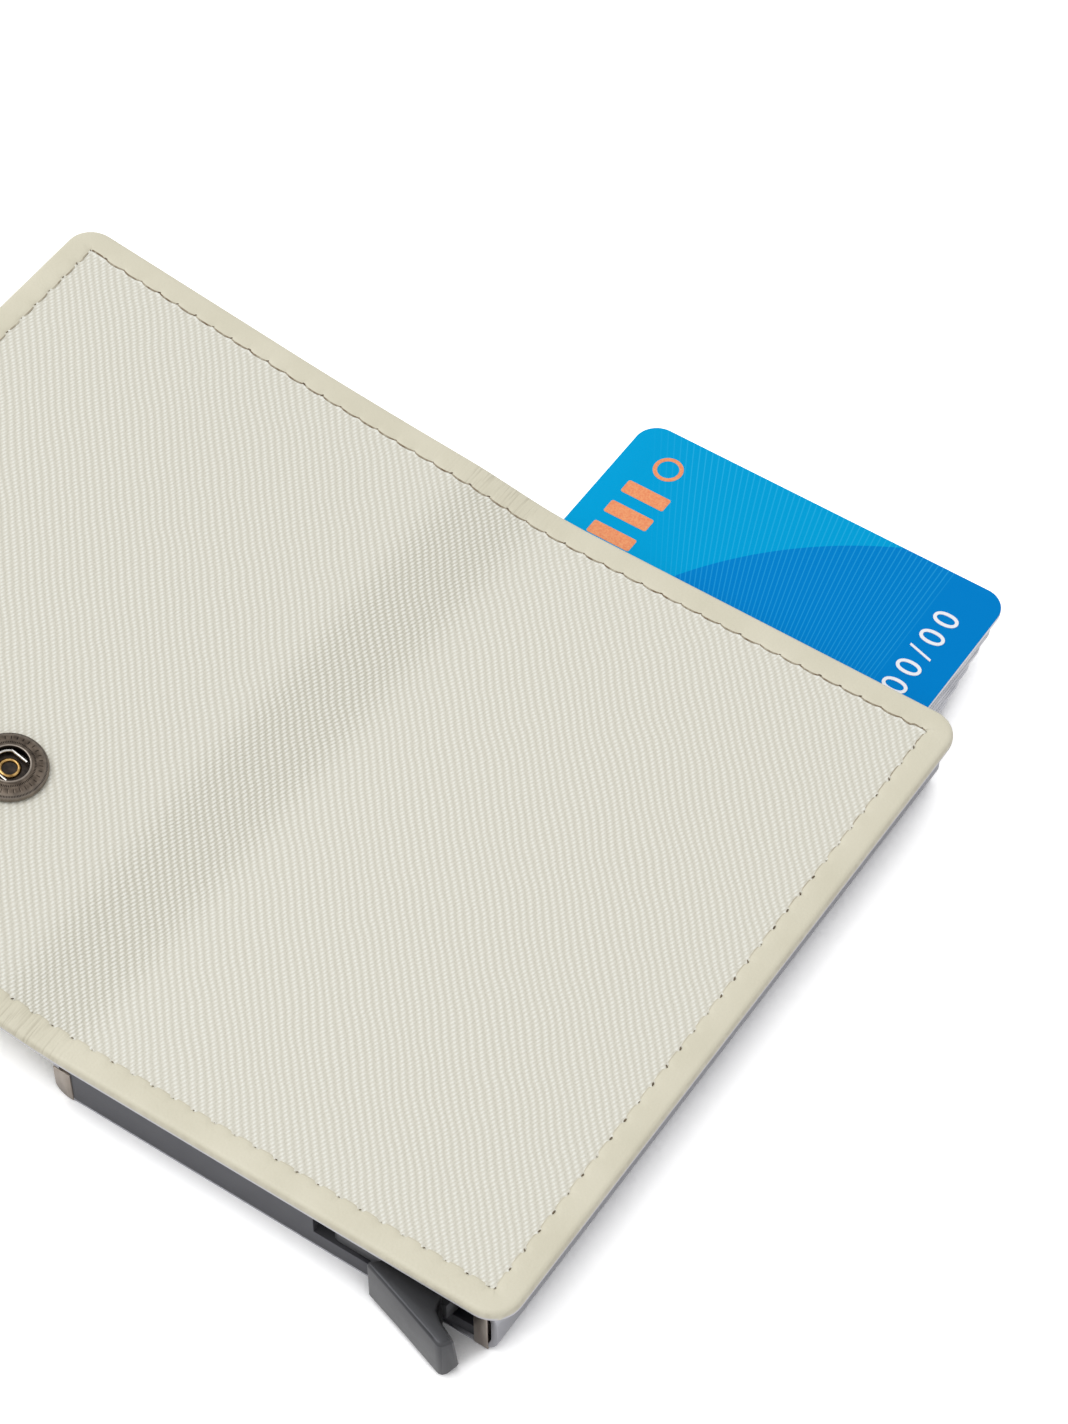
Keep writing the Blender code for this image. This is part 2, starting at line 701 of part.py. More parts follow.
clear_scene()
wallet = new_collection("card_wallet", True)
cutters = new_collection("cutters", False)
anodised = new_material("anodised_aluminium", (0.55, 0.55, 0.57), 0.35, 1.0)
steel = new_material("steel", (0.40, 0.36, 0.33), 0.35, 1.0)
black_plastic = new_material("black_plastic", (0.035, 0.034, 0.040), 0.40)
felt = new_material("felt", (0.05, 0.05, 0.05), 0.95)
top_card = new_material("printed_card", (0.00, 0.28, 0.65), 0.30)
card_plastic = new_material("card_plastic", (0.75, 0.76, 0.78), 0.40)
leather = new_material("leather", (0.68, 0.65, 0.54), 0.55)
board = new_material("board", (0.60, 0.55, 0.45), 0.85)
lining = new_material("twill_lining", (0.75, 0.73, 0.66), 0.80)
adhesive = new_material("adhesive", (0.80, 0.80, 0.76), 0.50)
gunmetal = new_material("gunmetal", (0.16, 0.14, 0.12), 0.30, 1.0)
brass = new_material("brass", (0.55, 0.40, 0.18), 0.30, 1.0)

build_case()
build_guides()
build_cards()
build_lever()
build_end_block()
free_panel = build_wrap()
build_socket(free_panel)
build_strap(free_panel)
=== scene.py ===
import math
import random

import bmesh
import bpy
import numpy
from mathutils import Matrix, Vector


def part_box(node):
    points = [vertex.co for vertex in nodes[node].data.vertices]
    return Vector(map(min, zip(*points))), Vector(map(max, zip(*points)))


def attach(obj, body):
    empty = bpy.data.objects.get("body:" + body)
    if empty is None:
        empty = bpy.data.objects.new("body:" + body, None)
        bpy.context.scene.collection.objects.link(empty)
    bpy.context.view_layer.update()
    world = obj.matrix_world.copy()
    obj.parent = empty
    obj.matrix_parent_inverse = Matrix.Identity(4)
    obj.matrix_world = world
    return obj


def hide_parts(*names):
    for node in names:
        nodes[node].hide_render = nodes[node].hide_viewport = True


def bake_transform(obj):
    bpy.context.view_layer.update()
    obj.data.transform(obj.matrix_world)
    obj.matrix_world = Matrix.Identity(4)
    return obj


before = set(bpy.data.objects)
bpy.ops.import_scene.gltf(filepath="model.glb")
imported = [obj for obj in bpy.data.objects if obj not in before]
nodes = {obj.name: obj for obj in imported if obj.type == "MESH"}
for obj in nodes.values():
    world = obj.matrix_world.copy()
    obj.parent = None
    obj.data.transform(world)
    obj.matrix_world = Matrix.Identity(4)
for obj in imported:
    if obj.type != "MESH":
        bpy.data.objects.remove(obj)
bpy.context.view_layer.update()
MM = 0.001

# The camera looks down on the near right corner from about half a metre, through a long lens,
# as the photograph does. Its frame is 1068 by 1424 pixels, upright.
scene = bpy.context.scene
camera_data = bpy.data.cameras.new("camera")
camera_data.sensor_width = 36
camera_data.lens = 103.33
camera_data.clip_start = 0.01
camera_data.clip_end = 20
camera = bpy.data.objects.new("camera", camera_data)
scene.collection.objects.link(camera)
scene.camera = camera
right = Vector((0.82900, 0.55925, 0))
up = Vector((-0.44374, 0.65777, 0.60865))
back = Vector((0.34039, -0.50457, 0.79345))
stand = Matrix((right, up, back)).transposed().to_4x4()
stand.translation = (0.15818, -0.22921, 0.40635)
camera.matrix_world = stand


# A white table and an even white room, with one broad soft lamp high on the left. The table shows
# white wherever it lies open, and keeps the soft shadow close to the wallet.
def colour(written):
    """A written sRGB colour as the linear numbers that a shader takes."""
    shares = [int(written[at : at + 2], 16) / 255 for at in (1, 3, 5)]
    return (*[c / 12.92 if c <= 0.04045 else ((c + 0.055) / 1.055) ** 2.4 for c in shares], 1)


def add(tree, kind, sockets=None, output=0, stops=(), to=None, **settings):
    """Adds a shader node, links it and gives its output.

    Sockets holds its inputs, each a value or another node's output, stops the places and colours
    along a ramp, and to the socket that the output feeds."""
    node = tree.nodes.new("ShaderNode" + kind)
    for name, value in settings.items():
        setattr(node, name, value)
    for socket, value in (sockets or {}).items():
        if isinstance(value, bpy.types.NodeSocket):
            tree.links.new(value, node.inputs[socket])
        else:
            node.inputs[socket].default_value = value
    if stops:
        marks = node.color_ramp.elements
        while len(marks) < len(stops):
            marks.new(0.5)
        for mark, (position, written) in zip(marks, stops):
            mark.position = position
            mark.color = colour(written)
    if to is not None:
        tree.links.new(node.outputs[output], to)
    return node.outputs[output] if len(node.outputs) else None


def finish(name, written, roughness, **sockets):
    """A new material, its nodes and its shader's sockets. What is the same all over is set there."""
    made = bpy.data.materials.new(name)
    made.use_nodes = True
    surface = made.node_tree.nodes["Principled BSDF"].inputs
    surface["Base Color"].default_value = colour(written)
    surface["Roughness"].default_value = roughness
    for socket, value in sockets.items():
        surface[socket.replace("_", " ")].default_value = value
    return made, made.node_tree, surface


scene.view_settings.view_transform = "Standard"
room = bpy.data.worlds.new("white_room")
room.use_nodes = True
scene.world = room
tree = room.node_tree
tree.nodes.clear()
rays = add(tree, "LightPath").node.outputs
seen = add(tree, "Math", {0: rays["Is Camera Ray"], 1: rays["Is Glossy Ray"]}, operation="MAXIMUM")
seen = add(tree, "Math", {0: seen, 1: rays["Is Transmission Ray"]}, operation="MAXIMUM")
plain_white = colour("#ffffff")
light = add(tree, "Background", {"Color": plain_white, "Strength": 0.72})
shown = add(tree, "Background", {"Color": plain_white, "Strength": 1.0})
add(tree, "OutputWorld", {0: add(tree, "MixShader", {0: seen, 1: light, 2: shown})})

table_mesh = bpy.data.meshes.new("table")
top = bmesh.new()
bmesh.ops.create_grid(top, x_segments=1, y_segments=1, size=3)
top.to_mesh(table_mesh)
top.free()
table = bpy.data.objects.new("table", table_mesh)
scene.collection.objects.link(table)
white, tree, surface = finish(
    "white_table", "#fbfbfc", 0.9, Specular_IOR_Level=0.0, Emission_Color=plain_white
)
rays = add(tree, "LightPath").node.outputs
glossy_share = {0: rays["Is Glossy Ray"], 1: 0.2, 2: rays["Is Camera Ray"]}
seen = add(tree, "Math", glossy_share, operation="MULTIPLY_ADD")
open_sky = add(tree, "AmbientOcclusion", {"Distance": 20 * MM}, "AO", samples=12)
lift = add(tree, "MapRange", {"Value": open_sky, "From Min": 0.42, "From Max": 0.50, "To Max": 0.56})
add(tree, "Math", {0: seen, 1: lift}, to=surface["Emission Strength"], operation="MULTIPLY")
table_mesh.materials.append(white)

lamp_data = bpy.data.lights.new("soft_lamp", "AREA")
lamp_data.shape = "DISK"
lamp_data.size = 0.9
lamp_data.energy = 6.9
lamp = bpy.data.objects.new("soft_lamp", lamp_data)
scene.collection.objects.link(lamp)
lamp.location = (-0.55, -0.15, 1.15)
lamp.rotation_euler = (Vector((0, 0, 0)) - lamp.location).to_track_quat("-Z", "Y").to_euler()


# The case is a thin tube of aluminium, extruded, cut to length and anodised: a satin grey skin
# with very fine lines along the extrusion, and sawn ends whose broken edges catch the light.
def spread(tree, scale, source="Object"):
    """The piece's own coordinates, scaled so that a pattern of period one gets its real size."""
    own = add(tree, "TexCoord", output=source)
    scale = scale if isinstance(scale, tuple) else (scale, scale, scale)
    return add(tree, "Mapping", {"Vector": own, "Scale": scale})


def piece(name, made, material, body, stands_for=(), smooth_angle=35):
    """Makes a bmesh a finished piece. One that crosses a joint has no body here."""
    mesh = bpy.data.meshes.new(name)
    made.to_mesh(mesh)
    made.free()
    obj = bpy.data.objects.new(name, mesh)
    scene.collection.objects.link(obj)
    mesh.materials.append(material)
    mesh.shade_smooth()
    mesh.set_sharp_from_angle(angle=math.radians(smooth_angle))
    if body:
        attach(obj, body)
    if stands_for:
        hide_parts(*stands_for)
    return obj


def round_corners(made, corners, offset, segments):
    """Rounds corners of a flat plate."""
    bmesh.ops.bevel(
        made, geom=corners, affect="VERTICES", offset=offset, segments=segments, profile=0.5, material=-1
    )


def plate(x_low, x_high, y_low, y_high, height=0, corner=0, steps=10):
    """A flat plate as one face at a height, with its corners rounded."""
    made = bmesh.new()
    middle = ((x_low + x_high) / 2, (y_low + y_high) / 2, height)
    bmesh.ops.create_grid(made, x_segments=1, y_segments=1, size=0.5)
    bmesh.ops.scale(made, vec=(x_high - x_low, y_high - y_low, 1), verts=made.verts)
    bmesh.ops.translate(made, vec=middle, verts=made.verts)
    if corner:
        round_corners(made, made.verts[:], corner, steps)
    return made


def thicken(made, depth):
    """Raises a plate to a body of the given depth."""
    grown = bmesh.ops.extrude_face_region(made, geom=made.faces[:])["geom"]
    raised = [v for v in grown if isinstance(v, bmesh.types.BMVert)]
    bmesh.ops.translate(made, vec=(0, 0, depth), verts=raised)
    bmesh.ops.recalc_face_normals(made, faces=made.faces)


def sharp_edges(made, angle):
    """The edges of a body at which its skin turns by more than an angle."""
    return [e for e in made.edges if len(e.link_faces) == 2 and e.calc_face_angle() > angle]


def rims(made, height):
    """The sharp edges of a body's flat face at a height."""
    return [e for e in sharp_edges(made, 0.5) if all(abs(v.co.z - height) < 1e-6 for v in e.verts)]


def soften(made, edges, offset, segments=3):
    """Rounds edges of a body."""
    bmesh.ops.bevel(
        made, geom=edges, affect="EDGES", offset=offset, segments=segments, profile=0.5, material=-1
    )


def draw_in(made, faces, width, depth=0, boundary=False):
    """Draws faces inwards by a width and moves them by a depth, with a strip left round them."""
    bmesh.ops.inset_region(
        made, faces=faces, thickness=width, depth=depth, use_boundary=boundary, use_even_offset=True
    )


def stand_up(made, y):
    """Turns a flat-made body upright, so that it reaches from y towards the near end."""
    turn = Matrix.Rotation(math.radians(90), 3, "X")
    bmesh.ops.rotate(made, cent=(0, 0, 0), matrix=turn, verts=made.verts)
    bmesh.ops.translate(made, vec=(0, y, 0), verts=made.verts)


WALL = 0.20 * MM
SIDE_WALL_SHARE = 30.3 / 31.0
shell_low, shell_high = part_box("case_shell")
shell = plate(shell_low.x, shell_high.x, shell_low.z, shell_high.z, corner=3.0 * MM, steps=14)
hollow = shell.faces[:]
draw_in(shell, hollow, WALL, boundary=True)
rim = list({v for f in hollow for v in f.verts})
middle = sum((v.co for v in rim), Vector()) / len(rim)
bmesh.ops.scale(shell, vec=(SIDE_WALL_SHARE, 1, 1), space=Matrix.Translation(-middle), verts=rim)
bmesh.ops.delete(shell, geom=hollow, context="FACES")
thicken(shell, shell_high.y - shell_low.y)
stand_up(shell, shell_high.y)
soften(shell, sharp_edges(shell, 1.2), 0.06 * MM, 2)
aluminium, tree, surface = finish("anodised_aluminium", "#9d9da2", 0.34, Metallic=1.0)
lines = add(tree, "TexNoise", {"Vector": spread(tree, (4000, 60, 4000)), "Scale": 1.0, "Detail": 3.0})
specks = add(tree, "TexNoise", {"Vector": spread(tree, 1), "Scale": 5000.0})
mixed = add(tree, "Math", {0: lines, 1: specks}, operation="ADD")
tone = add(tree, "MapRange", {"Value": mixed, "To Min": -0.5, "To Max": 1.5})
add(tree, "ValToRGB", {0: tone}, stops=((0.2, "#909095"), (0.8, "#aaaaaf")), to=surface["Base Color"])
add(tree, "MapRange", {"Value": lines, "To Min": 0.26, "To Max": 0.42}, to=surface["Roughness"])
add(tree, "Bump", {"Height": mixed, "Strength": 0.25, "Distance": 0.02 * MM}, to=surface["Normal"])
piece("case_tube", shell, aluminium, "case", ("case_shell",))

# Guides of drawn steel hold the cards from both sides, with a foot of the same bar beside the end
# block: a warm grey metal, finely scratched from top to foot and a little tarnished.
steel, tree, surface = finish("drawn_steel", "#9a8f85", 0.32, Metallic=1.0)
grain = add(tree, "TexNoise", {"Vector": spread(tree, (6000, 6000, 220)), "Scale": 1.0, "Detail": 4.0})
tarnish = add(tree, "TexNoise", {"Vector": spread(tree, (500, 500, 160)), "Scale": 1.0, "Detail": 2.0})
warm_greys = ((0.35, "#8f837a"), (0.5, "#9f958b"), (0.7, "#b0a79e"))
add(tree, "ValToRGB", {0: tarnish}, stops=warm_greys, to=surface["Base Color"])
add(tree, "MapRange", {"Value": grain, "To Min": 0.2, "To Max": 0.5}, to=surface["Roughness"])
add(tree, "Bump", {"Height": grain, "Strength": 0.35, "Distance": 0.02 * MM}, to=surface["Normal"])


def dress(name, material):
    """Gives a CAD node whose shape is right its finish."""
    mesh = nodes[name].data
    mesh.materials.clear()
    mesh.materials.append(material)


for name in ("guide_rail_left", "guide_rail_right", "guide_foot_left", "pivot_pin"):
    dress(name, steel)


# The guides' near ends are faced with small plates of the same steel, flush with the case's end. The
# left one fills the case's rounded corner beside the block.
def end_plate(name, x_low, x_high, z_low, z_high, corner):
    """A small plate across a guide's near end, with sizes in millimetres."""
    made = plate(x_low * MM, x_high * MM, z_low * MM, z_high * MM)
    if corner:
        outer = [v for v in made.verts if v.co.x < x_low * MM + 1e-6 and v.co.y < z_low * MM + 1e-6]
        round_corners(made, outer, corner * MM, 8)
    thicken(made, 0.5 * MM)
    soften(made, rims(made, 0.5 * MM), 0.1 * MM, 2)
    stand_up(made, shell_low.y + 0.35 * MM)
    piece(name, made, steel, "case")


end_plate("guide_end_left", -31.16, -28.72, 0.1, 5.3, 2.1)
end_plate("guide_end_right", 28.0, 29.90, 0.24, 8.0, 0)


# Two strips of black felt line the guides, and a pad of it presses the stack up: short matted
# fibres, dull and slightly uneven.
def mottled(name, written, roughness, pattern, stops, relief, dullness=None, **sockets):
    """A material whose colour and relief, and roughness if given, follow one noise pattern.

    Pattern is its detail and what spreads it, relief the bump's strength and height in millimetres."""
    made, tree, surface = finish(name, written, roughness, **sockets)
    detail, *scale = pattern
    pattern = add(tree, "TexNoise", {"Vector": spread(tree, *scale), "Scale": 1.0, "Detail": detail})
    add(tree, "ValToRGB", {0: pattern}, stops=stops, to=surface["Base Color"])
    bump = {"Height": pattern, "Strength": relief[0], "Distance": relief[1] * MM}
    add(tree, "Bump", bump, to=surface["Normal"])
    if dullness:
        span = {"Value": pattern, "To Min": dullness[0], "To Max": dullness[1]}
        add(tree, "MapRange", span, to=surface["Roughness"])
    return made


fibres = (6.0, (3500, 1200, 3500))
felt_blacks = ((0.3, "#151416"), (0.7, "#3a393c"))
felt = mottled("black_felt", "#252426", 0.95, fibres, felt_blacks, (0.8, 0.12), Sheen_Weight=0.4)
for name in ("felt_strip_left", "felt_strip_right", "friction_pad"):
    dress(name, felt)


# The end block is moulded in black plastic and pushed into the case's near end, which it closes. Its
# skin is fine and matt, a little bluish in the light, and rubbed paler along its edges.
def moulded(name, written, roughness, shine, tint):
    """A dark moulded plastic with a fine spark-eroded skin."""
    made, tree, surface = finish(
        name, written, roughness, IOR=1.5, Specular_IOR_Level=shine, Specular_Tint=colour(tint)
    )
    skin = add(tree, "TexNoise", {"Vector": spread(tree, 7000), "Scale": 1.0, "Detail": 2.0})
    cloud = add(tree, "TexNoise", {"Vector": spread(tree, 300), "Scale": 1.0})
    worn = add(tree, "NewGeometry", output="Pointiness")
    edge = add(tree, "MapRange", {"Value": worn, "From Min": 0.5, "From Max": 0.56, "To Max": 0.5})
    rubbed = {0: edge, 6: colour(written), 7: colour("#6a6a6c")}
    add(tree, "Mix", rubbed, 2, to=surface["Base Color"], data_type="RGBA")
    dullness = {"Value": cloud, "To Min": roughness - 0.06, "To Max": roughness + 0.08}
    add(tree, "MapRange", dullness, to=surface["Roughness"])
    add(tree, "Bump", {"Height": skin, "Strength": 0.2, "Distance": 0.03 * MM}, to=surface["Normal"])
    return made


def merged(mesh, distance=1e-6):
    """A mesh as a bmesh, with its loose corners joined."""
    made = bmesh.new()
    made.from_mesh(mesh)
    bmesh.ops.remove_doubles(made, verts=made.verts, dist=distance)
    return made


def slice_at(made, place, facing, distance=1e-7, **cleared):
    """Cuts a body along a plane and gives the edges of the cut."""
    geometry = made.verts[:] + made.edges[:] + made.faces[:]
    plane = {"plane_co": place, "plane_no": facing, "dist": distance}
    cut = bmesh.ops.bisect_plane(made, geom=geometry, **plane, **cleared)
    return [e for e in cut["geom_cut"] if isinstance(e, bmesh.types.BMEdge)]


def smoothed_copy(node, name, material, body, edge, reshape):
    """A CAD node's shape as one merged body, reshaped, with its edges rounded."""
    made = merged(nodes[node].data)
    reshape(made)
    bmesh.ops.dissolve_limit(made, angle_limit=math.radians(1), verts=made.verts, edges=made.edges)
    obj = piece(name, made, material, body, (node,))
    bevel = obj.modifiers.new("edge", "BEVEL")
    bevel.width = edge
    bevel.segments = 3
    bevel.limit_method = "ANGLE"
    bevel.angle_limit = math.radians(30)
    bevel.harden_normals = True


BLOCK_FOOT, BLOCK_TOP = 0.24 * MM, 8.45 * MM
BLOCK_SIDE, BLOCK_END = -28.95 * MM, -48.15 * MM
FIN_SIDE, FIN_RUN, FIN_ROOM = 15 * MM, 12.7 * MM, 0.45 * MM


def fill_the_end(made):
    """Brings the block's outer faces flush with the case's end, and close to its top and foot.

    Beside the lever the wall slopes back, so that the fin clears it."""
    slice_at(made, (FIN_SIDE, 0, 0), (1, 0, 0))
    for vert in made.verts:
        if vert.co.z < 1.0 * MM:
            vert.co.z = BLOCK_FOOT
        if vert.co.y < -47.65 * MM:
            vert.co.y = BLOCK_END + FIN_ROOM * min(max((vert.co.x - FIN_SIDE) / FIN_RUN, 0), 1)
        if vert.co.z > 8.0 * MM:
            vert.co.z = BLOCK_TOP
        if vert.co.x < -28.7 * MM:
            vert.co.x = BLOCK_SIDE


block_plastic = moulded("block_plastic", "#1d1d24", 0.36, 0.30, "#dde4ff")
smoothed_copy("end_block", "moulded_end_block", block_plastic, "case", 0.12 * MM, fill_the_end)

# The lever that pushes the cards out is moulded in a glossier black and turns on the steel pin. Its
# fin is a thumb rest: flat outside, hollowed inside, with a blunt end that widens downwards.
FIN_LOW, FIN_HIGH = 1.0 * MM, 8.0 * MM
FIN_ROOT = -48.95 * MM
fin_outline = (
    (15.00, -50.50), (20.48, -52.14), (26.30, -54.06), (26.95, -54.30), (27.48, -54.42), (27.90, -54.28),
    (28.25, -53.85), (28.60, -53.30), (28.60, -52.98), (28.32, -52.76), (27.40, -52.36), (26.10, -51.73),
    (25.00, -50.91), (24.59, -50.01), (24.36, -48.88), (16.37, -48.90), (15.27, -49.76),
)


def take_in(made, other):
    """Moves another bmesh's shape into this one."""
    mesh = bpy.data.meshes.new("shape")
    other.to_mesh(mesh)
    other.free()
    made.from_mesh(mesh)
    bpy.data.meshes.remove(mesh)


def carve_the_fin(made):
    """Cuts the plain fin off the copied lever and puts the carved one in its place."""
    root = slice_at(made, (0, FIN_ROOT, 0), (0, -1, 0), clear_outer=True)
    bmesh.ops.holes_fill(made, edges=root, sides=0)
    fin = bmesh.new()
    fin.faces.new([fin.verts.new((x * MM, y * MM, FIN_LOW)) for x, y in fin_outline])
    thicken(fin, FIN_HIGH - FIN_LOW)
    for vert in fin.verts:
        if vert.co.z < FIN_LOW + 1e-6 and vert.co.x > 24.9 * MM and vert.co.y > -53.5 * MM:
            vert.co.y += 0.8 * MM
    soften(fin, sharp_edges(fin, 1.0), 0.42 * MM, 4)
    take_in(made, fin)


lever_plastic = moulded("lever_plastic", "#151515", 0.30, 0.42, "#f4f6ff")
smoothed_copy("ejector_lever", "ejector_lever_body", lever_plastic, "lever", 0.2 * MM, carve_the_fin)

# Six plastic cards of the usual size lie in a stack, each stamped from white sheet. The top one is
# printed in two blues that meet along an arc, with a fan of fine pale lines, under a matt film.
CARD_CORNER = 3.18 * MM


def card_body(node, name, material):
    """A card with its round corners and softened edges, on its own body."""
    low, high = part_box(node)
    made = plate(low.x, high.x, low.y, high.y, low.z, CARD_CORNER, 12)
    thicken(made, high.z - low.z)
    soften(made, rims(made, high.z) + rims(made, low.z), 0.09 * MM, 2)
    piece(name, made, material, node, (node,))


grime = (3.0, (150, 150, 900))
card_whites = ((0.35, "#acadb4"), (0.65, "#d6d6db"))
plain_card = mottled("white_card_plastic", "#b9babf", 0.38, grime, card_whites, (0.15, 0.03), IOR=1.5)
for number in range(2, 7):
    card_body("card_" + str(number), "plain_card_" + str(number), plain_card)

CARD_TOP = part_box("card_1")[1].z
ARC_CENTRE, ARC_RADIUS = (36.0, 24.0), 54.0
FAN_CENTRE, FAN_STEP = (20.0, -3.0), 0.0101
printed, tree, surface = finish("printed_card", "#01a3da", 0.4, Specular_IOR_Level=0.02)
spot = add(tree, "TexCoord", output="Object")
in_mm = add(tree, "VectorMath", {0: spot, 3: 1000.0}, operation="SCALE")


def from_point(tree, vector, centre):
    """The flat vector from a point on the card, in millimetres."""
    offset = add(tree, "VectorMath", {0: vector, 1: (*centre, 0)}, operation="SUBTRACT")
    return add(tree, "VectorMath", {0: offset, 1: (1, 1, 0)}, operation="MULTIPLY")


reach = add(tree, "VectorMath", {0: from_point(tree, in_mm, ARC_CENTRE)}, "Value", operation="LENGTH")
arc = {"Value": reach, "From Min": ARC_RADIUS - 0.05, "From Max": ARC_RADIUS + 0.05}
inside = add(tree, "MapRange", {**arc, "To Min": 1.0, "To Max": 0.0})
fan = add(tree, "SeparateXYZ", {0: from_point(tree, in_mm, FAN_CENTRE)}).node.outputs
turn = add(tree, "Math", {0: fan[0], 1: fan[1]}, operation="ARCTAN2")
ray = turn
for operation, number in (("DIVIDE", FAN_STEP), ("FRACT", 0), ("SUBTRACT", 0.5), ("ABSOLUTE", 0)):
    ray = add(tree, "Math", {0: ray, 1: number}, operation=operation)
ray = add(tree, "MapRange", {"Value": ray, "From Min": 0.03, "From Max": 0.13, "To Min": 1.0, "To Max": 0.0})
fan_start = add(tree, "MapRange", {"Value": turn, "From Min": -0.56, "From Max": -0.48})
fan_end = {"Value": turn, "From Min": -0.02, "From Max": -0.01, "To Min": 1.0, "To Max": 0.0}
for share in (fan_start, add(tree, "MapRange", fan_end), 0.34):
    ray = add(tree, "Math", {0: ray, 1: share}, operation="MULTIPLY")
blues = add(tree, "Mix", {0: inside, 6: colour("#00a0d7"), 7: colour("#007fcb")}, 2, data_type="RGBA")
grain = add(tree, "TexNoise", {"Vector": spot, "Scale": 6000.0, "Detail": 2.0})
print_dots = add(tree, "MapRange", {"Value": grain, "To Max": 0.16})
blues = add(tree, "Mix", {0: print_dots, 6: blues, 7: colour("#0275b6")}, 2, data_type="RGBA")
inks = add(tree, "Mix", {0: ray, 6: blues, 7: colour("#3fc0ee")}, 2, data_type="RGBA")
height = add(tree, "SeparateXYZ", {0: in_mm}, 2)
top_side = {"Value": height, "From Min": CARD_TOP / MM - 0.10, "From Max": CARD_TOP / MM - 0.06}
skin = {0: add(tree, "MapRange", top_side), 6: colour("#e6e6ea"), 7: inks}
add(tree, "Mix", skin, 2, to=surface["Base Color"], data_type="RGBA")
add(tree, "Bump", {"Height": grain, "Strength": 0.1, "Distance": 0.02 * MM}, to=surface["Normal"])
card_body("card_1", "printed_card_1", printed)


# Raised plain figures stand along the card's right side, pressed up from behind, their tops covered
# with white foil that glitters very finely.
def as_mesh(name, data):
    """The mesh of a text or a curve."""
    shape = bpy.data.objects.new(name, data)
    scene.collection.objects.link(shape)
    bpy.context.view_layer.update()
    mesh = bpy.data.meshes.new_from_object(shape.evaluated_get(bpy.context.evaluated_depsgraph_get()))
    bpy.data.objects.remove(shape)
    return mesh


foil_whites = ((0.3, "#dcdfe6"), (0.7, "#f4f4f6"))
foil = mottled("white_foil", "#e9eaee", 0.4, (2.0, 8000), foil_whites, (0.2, 0.02))
figures_data = bpy.data.curves.new("figures", "FONT")
figures_data.body = "00/00"
figures_data.size = 4.9 * MM
figures_data.extrude = 0.05 * MM
figures_data.space_character = 1.38
figures_mesh = as_mesh("figures_outline", figures_data)
figures_place = Matrix.Translation((23.5 * MM, 51.3 * MM, CARD_TOP + 0.03 * MM))
figures_mesh.transform(figures_place @ Matrix.Rotation(math.radians(90), 4, "Z"))
piece("card_figures", merged(figures_mesh), foil, "card_1")

# Three plain orange bars and a ring are printed at the card's far left corner, as one thin layer of
# ink with small flecks of paler orange.
oranges = ((0.3, "#e27f50"), (0.7, "#ee9f68"))
orange = mottled("orange_ink", "#e88c5a", 0.4, (2.0, 4000), oranges, (0.15, 0.02))
ink = bmesh.new()
for y_low in (52.0, 56.0, 60.0):
    take_in(ink, plate(-23.6 * MM, -17.2 * MM, y_low * MM, (y_low + 2.2) * MM, corner=0.3 * MM, steps=4))
ring_spot = Matrix.Translation((-20.4 * MM, 66.4 * MM, 0))
ring = bmesh.ops.create_circle(ink, cap_ends=True, segments=48, radius=2.0 * MM, matrix=ring_spot)
ring_faces = list({f for v in ring["verts"] for f in v.link_faces})
bmesh.ops.inset_region(ink, faces=ring_faces, thickness=0.55 * MM, use_boundary=True)
bmesh.ops.delete(ink, geom=ring_faces, context="FACES")
thicken(ink, 0.03 * MM)
bmesh.ops.translate(ink, vec=(0, 0, CARD_TOP - 0.01 * MM), verts=ink.verts)
piece("card_marks", ink, orange, "card_1")

# A sheet of double-sided tape holds the wrap on the case: a thin milky film with a soft sheen,
# streaked along its length where it was rubbed down.
tape_tones = ((0.3, "#cfccbc"), (0.7, "#e0dfd5"))
tape = mottled("adhesive_tape", "#d8d6c9", 0.45, (3.0, (400, 90, 400)), tape_tones, (0.3, 0.05))
dress("adhesive_sheet", tape)

# The wrap is one piece of leather with its four edges turned over a board and a twill lining. It is
# made flat, then laid over the case, where it climbs from the fold to the raised free panel.
leather_low, leather_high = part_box("wrap_leather_right")
WRAP_TOP = leather_high.z
WRAP_THICK = leather_high.z - leather_low.z
HALF = leather_high.y
RIGHT_END = leather_high.x
TILT = math.radians(8.5)
SLOPE = math.tan(TILT)
FOLD = -30.7 * MM
SPINE = 7.0 * MM
MIDDLE = FOLD - SPINE / 2
LEFT_END = FOLD - SPINE - 63.8 * MM
BORDER = 3.38 * MM
BLEND = 2.6 * MM
COVER_AXIS = Vector((-37.623, 0, 12.085)) * MM
SIDES = ((1, "right"), (-1, "left"))
GRID_STEP = 0.1 * MM
grid_x = numpy.arange(-102, 40, 0.1) * MM


def climb(*knots):
    """The height of the sheet along it, from its slopes at a few places, ending on the CAD's plane."""
    places, slopes = zip(*knots)
    slope = numpy.interp(grid_x, numpy.array(places) * MM, slopes)
    height = numpy.cumsum(slope[::-1])[::-1] * GRID_STEP
    settled = numpy.interp(places[0] * MM, grid_x, height)
    wanted = (FOLD - places[0] * MM) * SLOPE
    return numpy.where(grid_x < places[0] * MM, (FOLD - grid_x) * SLOPE, height * wanted / settled)


far_knots = ((-60, 0.125), (-46, 0.10), (-40, 0.10), (-36, 0.17), (-31, 0.17), (-27, 0.10), (-21, 0.0))
far_climb = climb((-68, SLOPE), *far_knots)
near_climb = climb((-68, SLOPE), (-46, SLOPE), (-39, 0.16), (-35, 0.14), (-31, 0.06), (-27, 0.0))


def eased(share):
    """A share of 0 to 1 that starts and ends gently."""
    share = min(max(share, 0), 1)
    return share * share * (3 - 2 * share)


